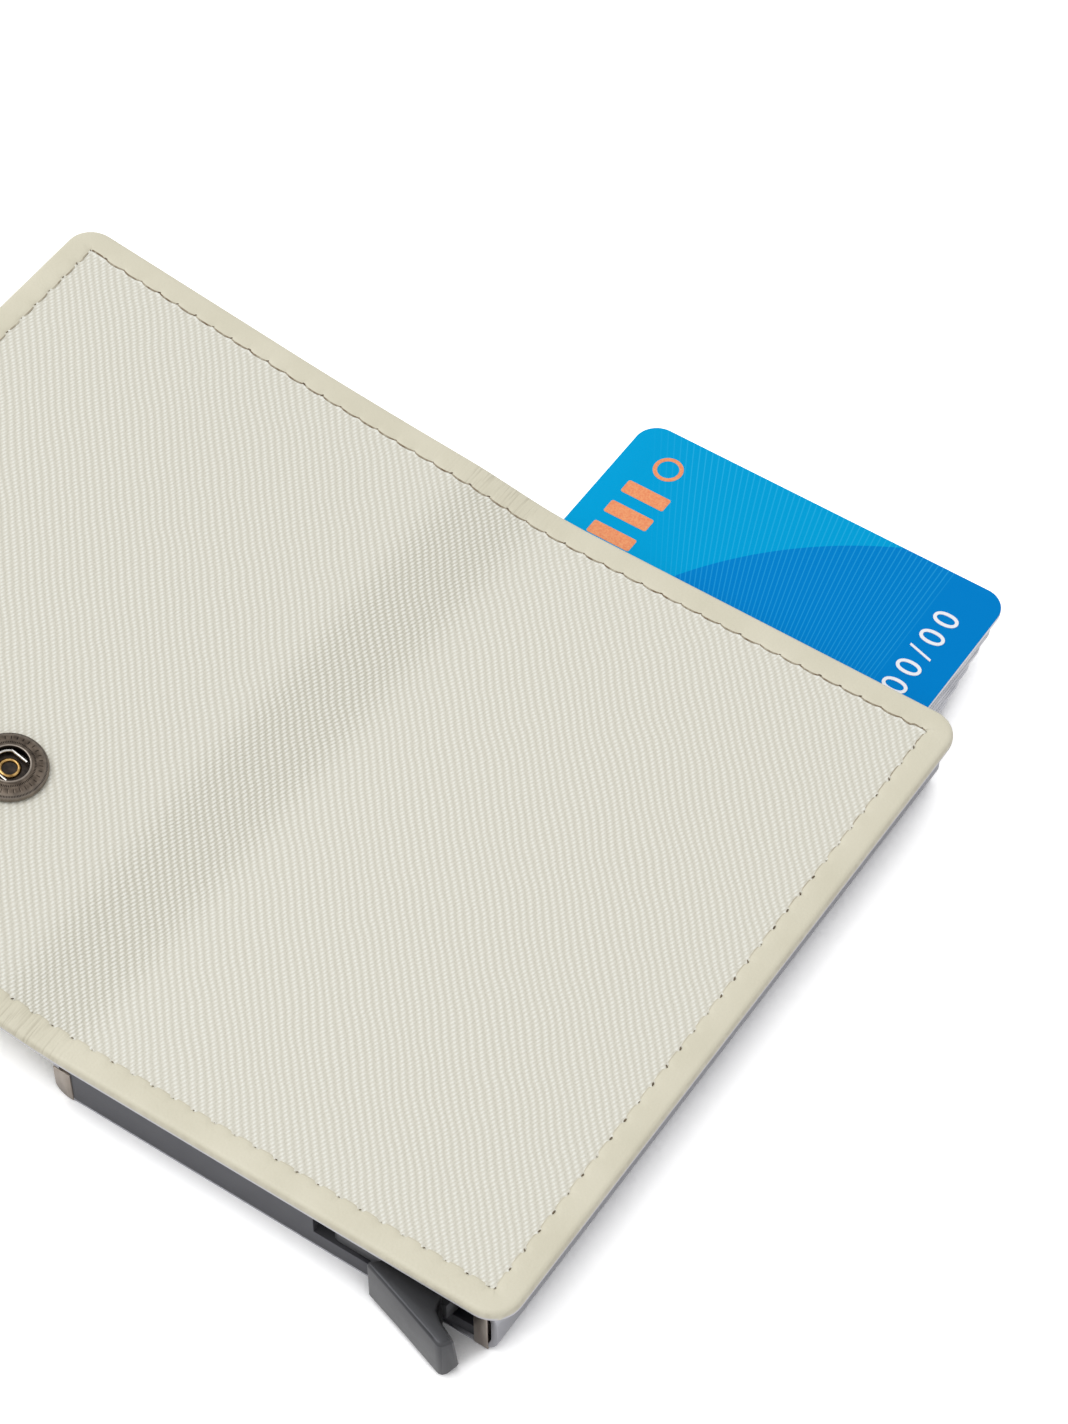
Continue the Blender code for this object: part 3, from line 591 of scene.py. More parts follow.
def sheet_height(x, y):
    """The sheet's height over the case here: its climb along the near end blends into the far one."""
    share = eased(y / HALF / 2 + 0.5)
    near, far = (float(numpy.interp(x, grid_x, heights)) for heights in (near_climb, far_climb))
    return near * (1 - share) + far * share


def keep_flat(made, shift=0):
    """Writes a piece's flat place into its UV map, in metres."""
    flat = made.loops.layers.uv.new("flat")
    for face in made.faces:
        for loop in face.loops:
            loop[flat].uv = (loop.vert.co.x + shift, loop.vert.co.y)


def lay(made):
    """Bends a flat-made piece onto the sheet's line."""
    keep_flat(made)
    probe = 0.3 * MM
    for vert in made.verts:
        x, y, depth = vert.co
        base = x if x > FOLD else FOLD + (x - FOLD) * math.cos(TILT)
        slope = (sheet_height(base + probe, y) - sheet_height(base - probe, y)) / (2 * probe)
        lean = math.atan(slope)
        height = WRAP_TOP + sheet_height(base, y)
        vert.co = (base - depth * math.sin(lean), y, height + depth * math.cos(lean))


def cross_cuts(made, places, along=(1, 0, 0)):
    """Cuts a piece across at places along it, so that it can bend."""
    for place in places:
        slice_at(made, Vector(along) * place, along, 0.05 * MM)


def half_of(made, side):
    """Keeps one side of a piece that is cut at the spine's middle, and closes the cut."""
    cut = slice_at(made, (MIDDLE, 0, 0), (side, 0, 0), clear_inner=True)
    bmesh.ops.holes_fill(made, edges=cut, sides=0)
    bmesh.ops.recalc_face_normals(made, faces=made.faces)


def join_over_fold(obj, side):
    """Bakes a laid piece's place into its mesh."""
    if side > 0:
        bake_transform(obj)
    else:
        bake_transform(obj)


bend_cuts = [x * MM for x in numpy.arange(-76, -17, 1.0)]

# Grey board stiffens the two panels between leather and lining: pressed from paper pulp and cut with
# a knife, matt and faintly cloudy. It shows only where the lining would be lifted.
pulp_greys = ((0.3, "#8b8577"), (0.7, "#a8a294"))
board = mottled("grey_board", "#9a9486", 0.9, (4.0, 900, "UV"), pulp_greys, (0.4, 0.05))
BOARD_GAP = 0.15 * MM
board_y = HALF - BORDER - BOARD_GAP
board_spans = {
    1: (FOLD + BOARD_GAP, RIGHT_END - BORDER),
    -1: (LEFT_END + BORDER, FOLD - SPINE - BOARD_GAP),
}
for side, name in SIDES:
    x_low, x_high = board_spans[side]
    made = plate(x_low, x_high, -board_y, board_y, -0.95 * MM)
    thicken(made, 0.4 * MM)
    cross_cuts(made, [x for x in bend_cuts if x_low < x < x_high])
    lay(made)
    piece("board_" + name, made, board, "case" if side > 0 else "cover", ("wrap_board_" + name,))

# The leather is split cowhide with a smooth pale finish, its edge skived thin, turned over and
# glued, so that it shows as a rounded border with an irregular brown raw edge along the lining. That
# edge also carries painted shade, most along the card side, and the border's outer roll is painted
# darker as painted shade. Where the border crosses the fold it is finely creased, with painted shade
# in the creases, and the lower half of its rim is a paler, cool grey.
PITCH = 2.9 * MM
ROUNDING = 0.75 * MM
PULL_REACH = 0.9 * MM
INNER_X = (LEFT_END + BORDER, RIGHT_END - BORDER)
INNER_Y = HALF - BORDER
turned_border = ((0.7, 0.05), (0.78, 0.02), (0.75, -0.04), (0.25, -0.05), (0.15, -0.08))


def stitch_pull(x, y):
    """How hard the thread pulls the border down here: 1 at a needle hole, 0 between holes."""
    along = x if HALF - abs(y) < min(x - LEFT_END, RIGHT_END - x) else y
    return abs(math.cos(math.pi * along / PITCH)) ** 6


def raw_edge_and_shade_share(x, y):
    """How dark the leather's cut edge is painted: its brown, with painted shade that is most along the card
    side and least along the near end.
    """
    if y > INNER_Y - 0.6 * MM:
        return 1.0
    if y < 0.6 * MM - INNER_Y:
        return 0.15
    return 0.25 + 0.6 * max(y, 0) / HALF


leather, tree, surface = finish("smooth_leather", "#d8d3c0", 0.5, Coat_Weight=0.08, Coat_Roughness=0.35)
flat_mm = spread(tree, 1000, "UV")
pebbles = add(tree, "TexVoronoi", {"Vector": flat_mm, "Scale": 2.6, "Randomness": 1.0}, feature="SMOOTH_F1")
pores = add(tree, "TexNoise", {"Vector": flat_mm, "Scale": 4.0, "Detail": 3.0})
blotches = add(tree, "TexNoise", {"Vector": flat_mm, "Scale": 0.12, "Detail": 2.0})
tone = add(tree, "ValToRGB", {0: blotches}, stops=((0.3, "#d0cbb6"), (0.7, "#d7d2be")))
pore_share = add(tree, "MapRange", {"Value": pores, "To Max": 0.25})
fray = add(tree, "TexNoise", {"Vector": flat_mm, "Scale": 0.8, "Detail": 2.0})
fray = add(tree, "MapRange", {"Value": fray, "From Min": 0.35, "From Max": 0.6, "To Min": 0.4})
# The cut edge's brown, darkened further by painted shade that the attribute carries along the border.
raw_and_shade = add(tree, "Attribute", output="Fac", attribute_name="raw_edge_and_shade")
raw_and_shade = add(tree, "Math", {0: raw_and_shade, 1: fray}, operation="MULTIPLY")
# The lower half of the rim is painted a paler, cool grey.
pale_rim = add(tree, "Attribute", output="Fac", attribute_name="pale_lower_rim")
along = add(tree, "SeparateXYZ", {0: flat_mm})
crease_start = add(tree, "MapRange", {"Value": along, "From Min": -47.0, "From Max": -38.0})
crease_end = {"Value": along, "From Min": -31.0, "From Max": -20.0, "To Min": 1.0, "To Max": 0.0}
turned_over = add(tree, "Attribute", output="Fac", attribute_name="turned_over")
crease_spot = crease_start
for share in (add(tree, "MapRange", crease_end), turned_over):
    crease_spot = add(tree, "Math", {0: crease_spot, 1: share}, operation="MULTIPLY")
creases = {"Vector": spread(tree, (3300, 170, 1000), "UV"), "Scale": 1.0, "Detail": 3.0}
creases = add(tree, "TexNoise", {**creases, "Distortion": 0.3})
creases = add(tree, "Math", {0: creases, 1: crease_spot}, operation="MULTIPLY")
# The creases are painted darker along their lines: painted shade in the creases.
painted_crease_shade = add(tree, "MapRange", {"Value": creases, "From Min": 0.50, "From Max": 0.72, "To Max": 0.45})
leather_tones = ((pore_share, "#c3bda8"), (raw_and_shade, "#6f5b3f"), (pale_rim, "#c9c8ce"), (painted_crease_shade, "#a39c87"))
for share, written in leather_tones:
    tone = add(tree, "Mix", {0: share, 6: tone, 7: colour(written)}, 2, data_type="RGBA")
tree.links.new(tone, surface["Base Color"])
add(tree, "MapRange", {"Value": pores, "To Min": 0.42, "To Max": 0.58}, to=surface["Roughness"])
grain = add(tree, "Math", {0: pebbles, 1: pores}, operation="ADD")
grain = add(tree, "Math", {0: creases, 1: -5.0, 2: grain}, operation="MULTIPLY_ADD")
add(tree, "Bump", {"Height": grain, "Strength": 0.35, "Distance": 0.08 * MM}, to=surface["Normal"])


def divide_border(made):
    """Divides the border's inner edges finely, so that they can follow the stitches."""
    wide, tall = [], []
    for edge in made.edges:
        x, y, z = (edge.verts[0].co + edge.verts[1].co) / 2
        reach = max(INNER_X[0] - x, x - INNER_X[1], abs(y) - INNER_Y)
        if reach < 1.3 * MM and z > -0.4 * MM and edge.calc_length() > 40 * MM:
            (wide if abs(edge.verts[0].co.y - edge.verts[1].co.y) < MM else tall).append(edge)
    for edges, length in ((wide, INNER_X[1] - INNER_X[0]), (tall, 2 * INNER_Y)):
        bmesh.ops.subdivide_edges(made, edges=edges, cuts=int(length / PITCH * 7), use_grid_fill=True)


def pull_border(made):
    """Draws the border's inner edge down at each stitch, and lets it bulge a little between them."""
    for vert in made.verts:
        x, y, z = vert.co
        reach = max(INNER_X[0] - x, x - INNER_X[1], abs(y) - INNER_Y, 0)
        if z > -0.6 * MM and reach < PULL_REACH:
            near = 1 - reach / PULL_REACH
            slack = 1 - stitch_pull(x, y)
            on_end = HALF - abs(y) < min(x - LEFT_END, RIGHT_END - x)
            lift, sink, bulge = (0.14, 0.01, 0.24) if on_end and y > 0 else (0.24, 0.14, 0.08)
            vert.co.z += (lift * slack - sink) * MM * near
            bulge = bulge * slack + 0.05 * math.sin(x * 1900) * math.sin(y * 2300)
            if on_end and INNER_X[0] + 2 * MM < x < INNER_X[1] - 2 * MM:
                vert.co.y -= math.copysign(bulge * MM * near, y)
            elif not on_end and abs(y) < INNER_Y - 2 * MM:
                vert.co.x += math.copysign(bulge * MM * near, MIDDLE - x)


def build_leather(side, name, stands_for):
    """The leather round one panel, with its border, as a shallow tray open over the board."""
    made = plate(LEFT_END, RIGHT_END, -HALF, HALF, -WRAP_THICK, 3.8 * MM)
    thicken(made, WRAP_THICK)
    soften(made, rims(made, 0) + rims(made, -WRAP_THICK), ROUNDING, 5)
    draw_in(made, [f for f in made.faces if f.normal.z < -0.9 and f.calc_area() > 0.001], 0.5 * MM)
    cap = [f for f in made.faces if f.normal.z > 0.9 and f.calc_area() > 0.001]
    for width, lift in turned_border:
        draw_in(made, cap, width * MM, lift * MM)
    bmesh.ops.delete(made, geom=cap, context="FACES_ONLY")
    divide_border(made)
    pull_border(made)
    open_edges = [e for e in made.edges if e.is_boundary]
    cap = bmesh.ops.holes_fill(made, edges=open_edges, sides=0)["faces"]
    raw_edge_and_shade = made.verts.layers.float.new("raw_edge_and_shade")
    pale_lower_rim = made.verts.layers.float.new("pale_lower_rim")
    turned_over = made.verts.layers.float.new("turned_over")
    for vert in made.verts:
        x, y, z = vert.co
        rim_gap = min(x - LEFT_END, RIGHT_END - x, HALF - abs(y))
        vert[turned_over] = 1.0 if z > -0.9 * MM else 0.0
        # The lower half of the rim takes the paler, cool grey.
        if rim_gap < 0.9 * MM and z < -0.95 * MM:
            vert[pale_lower_rim] = 1.0
        # The border's outer roll, above the rim's lower half, is painted darker: painted shade.
        elif rim_gap < 0.8 * MM and z < -0.15 * MM:
            vert[raw_edge_and_shade] = 0.17
    for width, lift in ((0.01, 0), (0.16, -0.03), (0.01, -0.5)):
        draw_in(made, cap, width * MM, lift * MM)
        for vert in {v for f in cap for v in f.verts}:
            vert[raw_edge_and_shade] = raw_edge_and_shade_share(vert.co.x, vert.co.y)
    for vert in {v for f in cap for v in f.verts}:
        vert.co.z = -1.0 * MM
    half_of(made, side)
    cross_cuts(made, [x for x in bend_cuts if (x - MIDDLE) * side > 0.2 * MM])
    lay(made)
    obj = piece("leather_" + name, made, leather, None, stands_for, 40)
    weighted = obj.modifiers.new("even_shading", "WEIGHTED_NORMAL")
    weighted.keep_sharp = True
    join_over_fold(obj, side)


build_leather(1, "right", ("wrap_leather_right", "wrap_leather_spine"))
build_leather(-1, "left", ("wrap_leather_left",))

# The lining is a polyester twill, woven in steep diagonal ribs of small yarn beads with a soft silky
# sheen. It is one cloth, laid over the boards and tucked under the leather's border. Its colour is
# painted darker between the ribs and lighter on the beads, as painted shade and highlight. Where it
# is stretched over the fold, the beads stand out more and the cloth is painted darker, as painted
# shade.
RIB = (0.800, 0.727)
BEAD = (2.230, -0.522)
twill, tree, surface = finish("twill_lining", "#dedbd0", 0.62, Sheen_Weight=0.25, Sheen_Roughness=0.4)
flat_mm = spread(tree, 1000, "UV")
wander = {"Vector": flat_mm, "Scale": 0.09, "Detail": 3.0}
sway = add(tree, "TexNoise", wander, "Color", noise_dimensions="2D")
sway = add(tree, "VectorMath", {0: sway, 1: (0.5, 0.5, 0.5)}, operation="SUBTRACT")
sway = add(tree, "VectorMath", {0: sway, 3: 0.9}, operation="SCALE")
threads = add(tree, "VectorMath", {0: flat_mm, 1: sway}, operation="ADD")


def wave(tree, vector, frequency):
    """A cosine of 0 to 1 across the cloth, with so many periods per millimetre along X and Y."""
    turns = add(tree, "VectorMath", {0: vector, 1: (*frequency, 0)}, "Value", operation="DOT_PRODUCT")
    angle = add(tree, "Math", {0: turns, 1: math.tau, 2: 0.0}, operation="MULTIPLY_ADD")
    swing = add(tree, "Math", {0: angle}, operation="COSINE")
    return add(tree, "Math", {0: swing, 1: 0.5, 2: 0.5}, operation="MULTIPLY_ADD")


rib = wave(tree, threads, RIB)
bead = wave(tree, threads, BEAD)
cross = wave(tree, threads, (BEAD[0] - RIB[0], BEAD[1] - RIB[1]))
fuzz = add(tree, "TexNoise", {"Vector": flat_mm, "Scale": 4.6, "Detail": 3.0})
along, across = add(tree, "SeparateXYZ", {0: flat_mm}).node.outputs[:2]
fold_start = {"Value": along, "From Min": -42.0, "From Max": -36.0}
fold_end = {"Value": along, "From Min": -31.0, "From Max": -25.0, "To Min": 1.0, "To Max": 0.0}
fold_start, fold_end = (
    add(tree, "MapRange", span, interpolation_type="SMOOTHSTEP") for span in (fold_start, fold_end)
)
in_fold = add(tree, "Math", {0: fold_start, 1: fold_end}, operation="MULTIPLY")
rib_share, bead_share, swell = (
    add(tree, "MapRange", {"Value": in_fold, "To Min": flat, "To Max": bent})
    for flat, bent in ((0.42, 0.34), (0.32, 0.36), (1.0, 1.8))
)
# The weave's colour is painted shade between the ribs and painted highlight on the beads; the same pattern
# bumps the cloth.
weave_and_shade = add(tree, "Math", {0: rib, 1: rib_share}, operation="MULTIPLY")
for part, share in ((bead, bead_share), (cross, 0.16), (fuzz, 0.70)):
    weave_and_shade = add(tree, "Math", {0: part, 1: share, 2: weave_and_shade}, operation="MULTIPLY_ADD")
weave_and_shade = add(tree, "Math", {0: weave_and_shade, 1: 0.68}, operation="SUBTRACT")
weave_and_shade = add(tree, "Math", {0: weave_and_shade, 1: swell, 2: 0.48}, operation="MULTIPLY_ADD")
# Over the fold the cloth is painted darker: painted shade.
weave_and_shade = add(tree, "Math", {0: in_fold, 1: -0.16, 2: weave_and_shade}, operation="MULTIPLY_ADD")
# A thin line of cloth along the far border is painted lighter: a painted highlight.
far_edge_highlight = add(tree, "MapRange", {"Value": across, "From Min": 45.9, "From Max": 46.2, "To Max": 0.35})
weave_and_shade = add(tree, "Math", {0: weave_and_shade, 1: far_edge_highlight}, operation="ADD")
twill_shade_tones = ((0.10, "#bdbaab"), (0.5, "#d2cfc2"), (0.8, "#dcdacf"), (1.0, "#e8e8df"))
add(tree, "ValToRGB", {0: weave_and_shade}, stops=twill_shade_tones, to=surface["Base Color"])
add(tree, "Bump", {"Height": weave_and_shade, "Strength": 0.5, "Distance": 0.12 * MM}, to=surface["Normal"])
CLOTH = 0.38 * MM
CLOTH_TOP = -0.12 * MM
TUCK = -0.02 * MM
cloth_y = HALF - BORDER - TUCK
cloth_spans = {1: (MIDDLE, RIGHT_END - BORDER - TUCK), -1: (LEFT_END + BORDER + TUCK, MIDDLE)}
cloth_nodes = {1: ("wrap_lining_right", "wrap_lining_spine"), -1: ("wrap_lining_left",)}
for side, name in SIDES:
    x_low, x_high = cloth_spans[side]
    made = plate(x_low, x_high, -cloth_y, cloth_y, CLOTH_TOP - CLOTH)
    thicken(made, CLOTH)
    cross_cuts(made, [x * MM for x in numpy.arange(-98, 32, 1.0) if x_low / MM + 0.3 < x < x_high / MM - 0.3])
    cross_cuts(made, numpy.arange(-46, 47, 2.0) * MM, (0, 1, 0))
    lay(made)
    obj = piece("lining_" + name, made, twill, None, cloth_nodes[side], 60)
    join_over_fold(obj, side)

# Needle holes show as small dark dots between border and lining, where the thread sinks in: small
# dark brown beads stand there as painted shade for the holes. On the wrap's outer side the waxed
# thread itself shows, one short stitch between two holes, with a dull gleam and the twist of its plies.
STITCH_IN = 3.42 * MM
chance = random.Random(4)


def stitch_places(inset):
    """The middle of each stitch round the wrap, with the way it runs."""
    x_low, x_high = LEFT_END + inset, RIGHT_END - inset
    y_high = HALF - inset
    found = []
    for number in range(math.ceil(x_low / PITCH), math.floor(x_high / PITCH) + 1):
        found += [((number * PITCH, y), 0) for y in (-y_high, y_high)]
    for number in range(math.ceil(-y_high / PITCH), math.floor(y_high / PITCH) + 1):
        found += [((x, number * PITCH), math.pi / 2) for x in (x_low, x_high)]
    return found


def beads(made, places, size, height, unevenness=0.1):
    """Adds one small rounded bead to the mesh at each place, each a little smaller and skewed.

    The needle holes, which are the uneven ones, are pulled smaller still along the near end."""
    for (x, y), turn in places:
        share = 1 - unevenness * chance.random()
        if unevenness > 0.3 and y < BORDER + MM - HALF:
            share *= 0.66
        skew = unevenness * 1.6 * (chance.random() - 0.2)
        spot = Matrix.Translation((x, y, height)) @ Matrix.Rotation(turn + skew, 4, "Z")
        spot = spot @ Matrix.Scale(share, 4) @ Matrix.Diagonal((*size, 1))
        bmesh.ops.create_icosphere(made, subdivisions=1, radius=1.0, matrix=spot)


# The holes' dark brown is painted shade.
hole_shade_browns = ((0.3, "#52463a"), (0.7, "#7d6e58"))
hole_shade = mottled("needle_hole_shade", "#4c4437", 0.9, (2.0, 3000, "UV"), hole_shade_browns, (0.5, 0.05))
thread, tree, surface = finish("waxed_thread", "#cdc6b0", 0.55)
twist = {"Vector": spread(tree, 1500, "UV"), "Scale": 1.0, "Distortion": 2.0}
plies = add(tree, "TexWave", twist, bands_direction="DIAGONAL")
add(tree, "ValToRGB", {0: plies}, stops=((0.2, "#b5ae97"), (0.8, "#dbd5c1")), to=surface["Base Color"])
add(tree, "Bump", {"Height": plies, "Strength": 0.6, "Distance": 0.05 * MM}, to=surface["Normal"])
HOLE_SIZE = (0.34 * MM, 0.13 * MM, 0.12 * MM)
STITCH_SIZE = (1.15 * MM, 0.24 * MM, 0.16 * MM)
for side, name in SIDES:
    for label, size, height, material, slip, unevenness in (
        ("needle_holes_", HOLE_SIZE, -0.09 * MM, hole_shade, 0.0, 0.7),
        ("stitches_", STITCH_SIZE, -WRAP_THICK - 0.02 * MM, thread, PITCH / 2, 0.1),
    ):
        made = bmesh.new()
        places = [
            ((x + slip * math.cos(turn), y + slip * math.sin(turn)), turn)
            for (x, y), turn in stitch_places(STITCH_IN)
            if (x - MIDDLE) * side > 0
        ]
        beads(made, places, size, height, unevenness)
        lay(made)
        join_over_fold(piece(label + name, made, material, None, smooth_angle=80), side)

# The snap's socket is a pressed ring of antiqued brass, rolled over at both edges, with two rings of
# fine punched dots and plain ticks between: brown-grey, bright where it is rubbed, dark in its
# recesses.
TURN = Matrix.Rotation(TILT, 4, "Y")
SNAP = Matrix.Translation(COVER_AXIS) @ TURN @ Matrix.Translation((-19.5 * MM, -22.4 * MM, 0))


def turned(profile, place, closed=False, steps=72):
    """A turned piece in its place, from its profile, radii and heights in millimetres."""
    made = bmesh.new()
    points = [made.verts.new((radius * MM, 0, height * MM)) for radius, height in profile]
    pairs = list(zip(points, points[1:])) + ([(points[-1], points[0])] if closed else [])
    outline = points + [made.edges.new(pair) for pair in pairs]
    axis = {"cent": (0, 0, 0), "axis": (0, 0, 1), "angle": math.tau}
    bmesh.ops.spin(made, geom=outline, steps=steps, use_merge=True, **axis)
    bmesh.ops.remove_doubles(made, verts=made.verts, dist=1e-6)
    bmesh.ops.recalc_face_normals(made, faces=made.faces)
    keep_flat(made)
    bmesh.ops.transform(made, matrix=place, verts=made.verts)
    return made


def punched(tree, flat_mm):
    """Where the ring's dots and ticks are pressed in, from 0 to 1, and the radius in millimetres.

    Each row has its radius, half its width, how many marks it has and how much of it they fill."""
    rows = ((3.12, 0.13, 46, 0.5), (4.48, 0.10, 76, 0.5), (3.80, 0.24, 16, 0.16))
    parts = add(tree, "SeparateXYZ", {0: flat_mm}).node.outputs
    turn = add(tree, "Math", {0: parts[1], 1: parts[0]}, operation="ARCTAN2")
    reach = add(tree, "VectorMath", {0: flat_mm}, "Value", operation="LENGTH")
    marks = 0.0
    for radius, half_width, count, share in rows:
        step = add(tree, "Math", {0: turn, 1: count / math.tau, 2: 0.5}, operation="MULTIPLY_ADD")
        step = add(tree, "Math", {0: step, 1: 1.0}, operation="WRAP")
        step = add(tree, "Math", {0: step, 1: 0.5}, operation="SUBTRACT")
        off = add(tree, "Math", {0: reach, 1: radius}, operation="SUBTRACT")
        mark = 1.0
        for gap, limit, blur in ((step, share / 2, 0.05), (off, half_width, 0.03)):
            gap = add(tree, "Math", {0: gap}, operation="ABSOLUTE")
            span = {"From Min": limit - blur, "From Max": limit + blur, "To Min": 1.0, "To Max": 0.0}
            part = add(tree, "MapRange", {"Value": gap, **span})
            mark = add(tree, "Math", {0: mark, 1: part}, operation="MULTIPLY")
        marks = add(tree, "Math", {0: marks, 1: mark}, operation="MAXIMUM")
    return marks, reach


def antiqued(name, is_ring):
    """Gunmetal-plated brass. The ring also has its punched marks and a bore painted dark, as painted shade.
    """
    made, tree, surface = finish(name, "#6f655c", 0.34, Metallic=1.0)
    cloud = add(tree, "TexNoise", {"Vector": spread(tree, 1200), "Scale": 1.0, "Detail": 4.0})
    tone = add(tree, "ValToRGB", {0: cloud}, stops=((0.3, "#453d36"), (0.7, "#72675c")))
    rubbed = add(tree, "NewGeometry", output="Pointiness")
    rubbed = add(tree, "MapRange", {"Value": rubbed, "From Min": 0.51, "From Max": 0.58, "To Max": 0.75})
    shades = [(rubbed, "#b9b0a6")]
    height = cloud
    if is_ring:
        marks, reach = punched(tree, spread(tree, 1000, "UV"))
        # The ring's bore is painted dark brown: painted shade in the hole.
        bore_shade = {"Value": reach, "From Min": 2.44, "From Max": 2.50, "To Min": 1.0, "To Max": 0.0}
        shades += [(marks, "#1d1916"), (add(tree, "MapRange", bore_shade), "#241d18")]
        height = add(tree, "Math", {0: marks, 1: -3.0, 2: cloud}, operation="MULTIPLY_ADD")
    for share, written in shades:
        tone = add(tree, "Mix", {0: share, 6: tone, 7: colour(written)}, 2, data_type="RGBA")
    tree.links.new(tone, surface["Base Color"])
    add(tree, "MapRange", {"Value": cloud, "To Min": 0.26, "To Max": 0.48}, to=surface["Roughness"])
    add(tree, "Bump", {"Height": height, "Strength": 0.5, "Distance": 0.03 * MM}, to=surface["Normal"])
    return made


ring_metal = antiqued("antiqued_ring", True)
plain_metal = antiqued("antiqued_metal", False)
socket_profile = (
    (2.40, 0.05), (2.40, 1.10), (2.44, 1.20), (2.52, 1.26), (2.62, 1.26), (2.70, 1.20), (2.76, 1.10),
    (2.82, 1.06), (3.30, 1.02), (3.80, 0.97), (4.20, 0.90), (4.48, 0.80), (4.66, 0.64), (4.77, 0.44),
    (4.80, 0.28), (4.78, 0.12), (4.70, 0.05),
)
made = turned(socket_profile, SNAP, closed=True, steps=96)
piece("snap_socket_ring", made, ring_metal, "cover", ("snap_socket",), 50)

# The spring is one bent wire of bright drawn steel, lying loose in the ring. Its two straight legs
# cross the hole and grip the stud.
wire_tones = ((0.3, "#aaa69f"), (0.7, "#dedcd8"))
spring_metal = mottled(
    "spring_wire", "#c9c6c0", 0.2, (2.0, 2500), wire_tones, (0.2, 0.02), (0.12, 0.35), Metallic=1.0
)
WIRE = 0.20 * MM
LEG_X, LEG_END = 1.80, 1.18
BEND = 2.14 * MM
BEND_STEPS = 12
start = math.atan2(LEG_END, LEG_X)
angles = [start + (math.pi - 2 * start) * step / BEND_STEPS for step in range(1, BEND_STEPS)]
spring_line = [(LEG_X * MM, y * MM) for y in (-1.2, 0, LEG_END)]
spring_line += [(BEND * math.cos(angle), BEND * math.sin(angle)) for angle in angles]
spring_line += [(-LEG_X * MM, y * MM) for y in (LEG_END, 0, -1.2)]
wire = bpy.data.curves.new("spring_line", "CURVE")
wire.dimensions = "3D"
wire.bevel_depth = WIRE
wire.bevel_resolution = 3
wire.use_fill_caps = True
spline = wire.splines.new("POLY")
spline.points.add(len(spring_line) - 1)
for point, (x, y) in zip(spline.points, spring_line):
    point.co = (x, y, 0.66 * MM, 1)
made = merged(as_mesh("spring_line", wire), 1e-7)
spring_place = SNAP @ Matrix.Rotation(math.radians(84.5), 4, "Z")
bmesh.ops.transform(made, matrix=spring_place, verts=made.verts)
piece("snap_spring_wire", made, spring_metal, "cover", ("snap_spring",), 50)

# A hollow rivet holds the ring: its flared brass end shows at the bottom of the hole, polished and
# yellow over a floor of near-black metal that is painted shade, and its domed head lies on the
# leather side, plated as the ring is.
brass_tones = ((0.3, "#7f6238"), (0.7, "#c9a468"))
brass = mottled(
    "polished_brass", "#a5834c", 0.25, (3.0, 1500), brass_tones, (0.2, 0.02), (0.16, 0.4), Metallic=1.0
)
eyelet_profile = (
    (0.92, -2.30), (0.92, 0.10), (0.97, 0.22), (1.08, 0.30), (1.24, 0.28), (1.38, 0.18), (1.46, 0.05),
    (1.46, -0.30), (1.26, -0.35), (1.26, -2.30),
)
made = turned(eyelet_profile, SNAP, closed=True, steps=48)
piece("snap_eyelet", made, brass, "cover", smooth_angle=50)
# The hole's floor is near-black metal: painted shade.
bore_shade_tones = ((0.3, "#17120f"), (0.7, "#3a2f26"))
bore_shade_metal = mottled("bore_painted_shade", "#231c17", 0.5, (3.0, 1500), bore_shade_tones, (0.4, 0.03), Metallic=0.6)
floor_profile = (
    (0.0, -0.02), (0.90, -0.02), (1.0, 0.0), (2.38, 0.02), (2.38, -0.10), (1.1, -0.65), (0.0, -0.70),
)
made = turned(floor_profile, SNAP, steps=48)
piece("snap_floor", made, bore_shade_metal, "cover", smooth_angle=50)
head_profile = (
    (0.0, -1.84), (4.30, -1.84), (4.45, -1.90), (4.50, -2.00), (4.44, -2.12), (4.20, -2.26), (3.60, -2.42),
    (2.60, -2.52), (1.40, -2.55), (0.0, -2.55),
)
made = turned(head_profile, SNAP)
piece("snap_rivet_head", made, plain_metal, "cover", ("snap_rivet",), 50)

# The note strap is a strip of the same leather, sewn under the free panel's outer edge and lined
# with the twill. It swings about that edge, over the panel, and snaps into the socket.
STRAP_AXIS = COVER_AXIS + TURN.to_3x3() @ Vector((-65.0, 0, -0.9)) * MM
DROOP = math.radians(12.5)
STRAP_Y = -22.4 * MM
STRAP_HALF = 7.0 * MM
ANCHOR = 13.0 * MM
TIP = -53.5 * MM
LINING_IN = 1.2 * MM
SEAM_HALF = 5.7 * MM
AWAY_FROM_FOLD = 0.2
strap_cuts = [x * MM for x in numpy.arange(-5.0, 4.0, 0.35)]


def hang(made):
    """Bends a flat-made strap down over the panel's edge. Its UV map stays clear of the wrap's fold."""
    keep_flat(made, AWAY_FROM_FOLD)
    for vert in made.verts:
        share = eased((BLEND - vert.co.x) / (2 * BLEND))
        vert.co = Matrix.Rotation(TILT - DROOP * share, 3, "Y") @ vert.co + STRAP_AXIS
    return made


def strap_piece(name, made, material, stands_for=(), smooth_angle=50):
    """A finished piece that crosses the panel's edge."""
    obj = piece(name, hang(made), material, None, stands_for, smooth_angle)
    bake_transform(obj)
    return obj


def strap_strip(low, high, inset, edge):
    """A strip of the strap's outline with a round tip, between two heights under the edge's axis."""
    half = STRAP_HALF - inset
    made = plate(TIP + inset, ANCHOR - inset, STRAP_Y - half, STRAP_Y + half, low)
    round_corners(made, [v for v in made.verts if v.co.x < 0], 6.0 * MM - inset, 12)
    thicken(made, high - low)
    soften(made, rims(made, low) + rims(made, high), edge, 3)
    cross_cuts(made, strap_cuts)
    return made


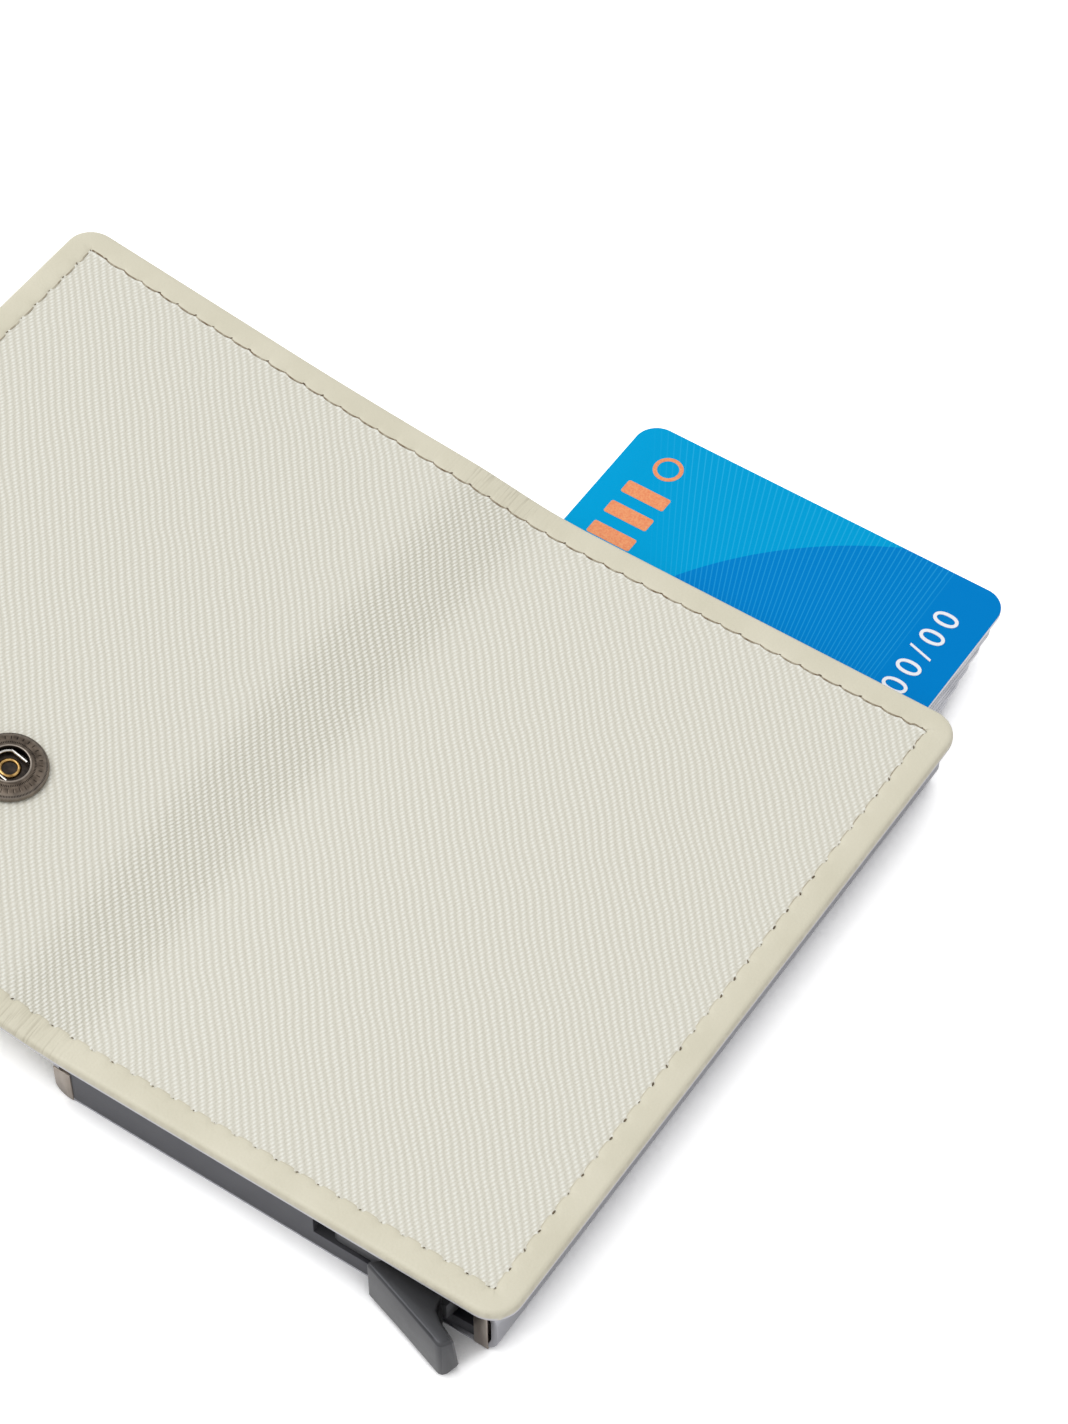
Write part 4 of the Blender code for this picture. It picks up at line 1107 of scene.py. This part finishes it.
made = strap_strip(-2.85 * MM, -1.66 * MM, 0, 0.42 * MM)
strap = strap_piece("strap_leather", made, leather, ("note_strap", "strap_anchor"))
strap.modifiers.new("even_shading", "WEIGHTED_NORMAL")
made = strap_strip(-1.64 * MM, -1.20 * MM, LINING_IN, 0.12 * MM)
strap_twill = strap_piece("strap_lining", made, twill, ("note_strap_lining",))
places = []
for number in range(math.ceil((TIP + 7.5 * MM) / PITCH), math.floor((ANCHOR - 2 * MM) / PITCH) + 1):
    places += [((number * PITCH, STRAP_Y + y), 0) for y in (-SEAM_HALF, SEAM_HALF)]
for number in range(-3, 4):
    turn = math.radians(number * 24)
    x = TIP + STRAP_HALF - SEAM_HALF * math.cos(turn)
    places.append(((x, STRAP_Y + SEAM_HALF * math.sin(turn)), math.pi / 2 - turn))
made = bmesh.new()
for height in (-1.62, -2.87):
    beads(made, places, (1.15 * MM, 0.22 * MM, 0.14 * MM), height * MM)
strap_piece("strap_stitches", made, thread, smooth_angle=80)

# The snap's stud is turned from brass and plated as the ring is. It sits near the strap's tip, held
# through it by a smooth domed cap on the leather side.
STUD_PLACE = Matrix.Translation((-45.5 * MM, STRAP_Y, 0))
STUD = Matrix.Translation(STRAP_AXIS) @ Matrix.Rotation(TILT - DROOP, 4, "Y") @ STUD_PLACE
stud_profile = (
    (0.0, 0.05), (0.90, 0.05), (1.20, -0.02), (1.42, -0.16), (1.50, -0.32), (1.42, -0.48), (1.22, -0.62),
    (1.16, -0.75), (1.18, -0.86), (1.40, -0.93), (2.80, -0.97), (3.08, -1.00), (3.20, -1.08), (3.18, -1.16),
    (3.0, -1.19), (0.0, -1.19),
)
made = turned(stud_profile, STUD)
piece("snap_stud_post", made, plain_metal, "strap", ("snap_stud",), 50)
cap_profile = (
    (0.0, -2.88), (4.80, -2.88), (4.95, -2.94), (5.0, -3.05), (4.94, -3.20), (4.70, -3.36), (4.10, -3.55),
    (3.20, -3.72), (1.80, -3.84), (0.0, -3.88),
)
made = turned(cap_profile, STUD)
piece("snap_cap", made, plain_metal, "strap", ("snap_stud_cap",), 50)
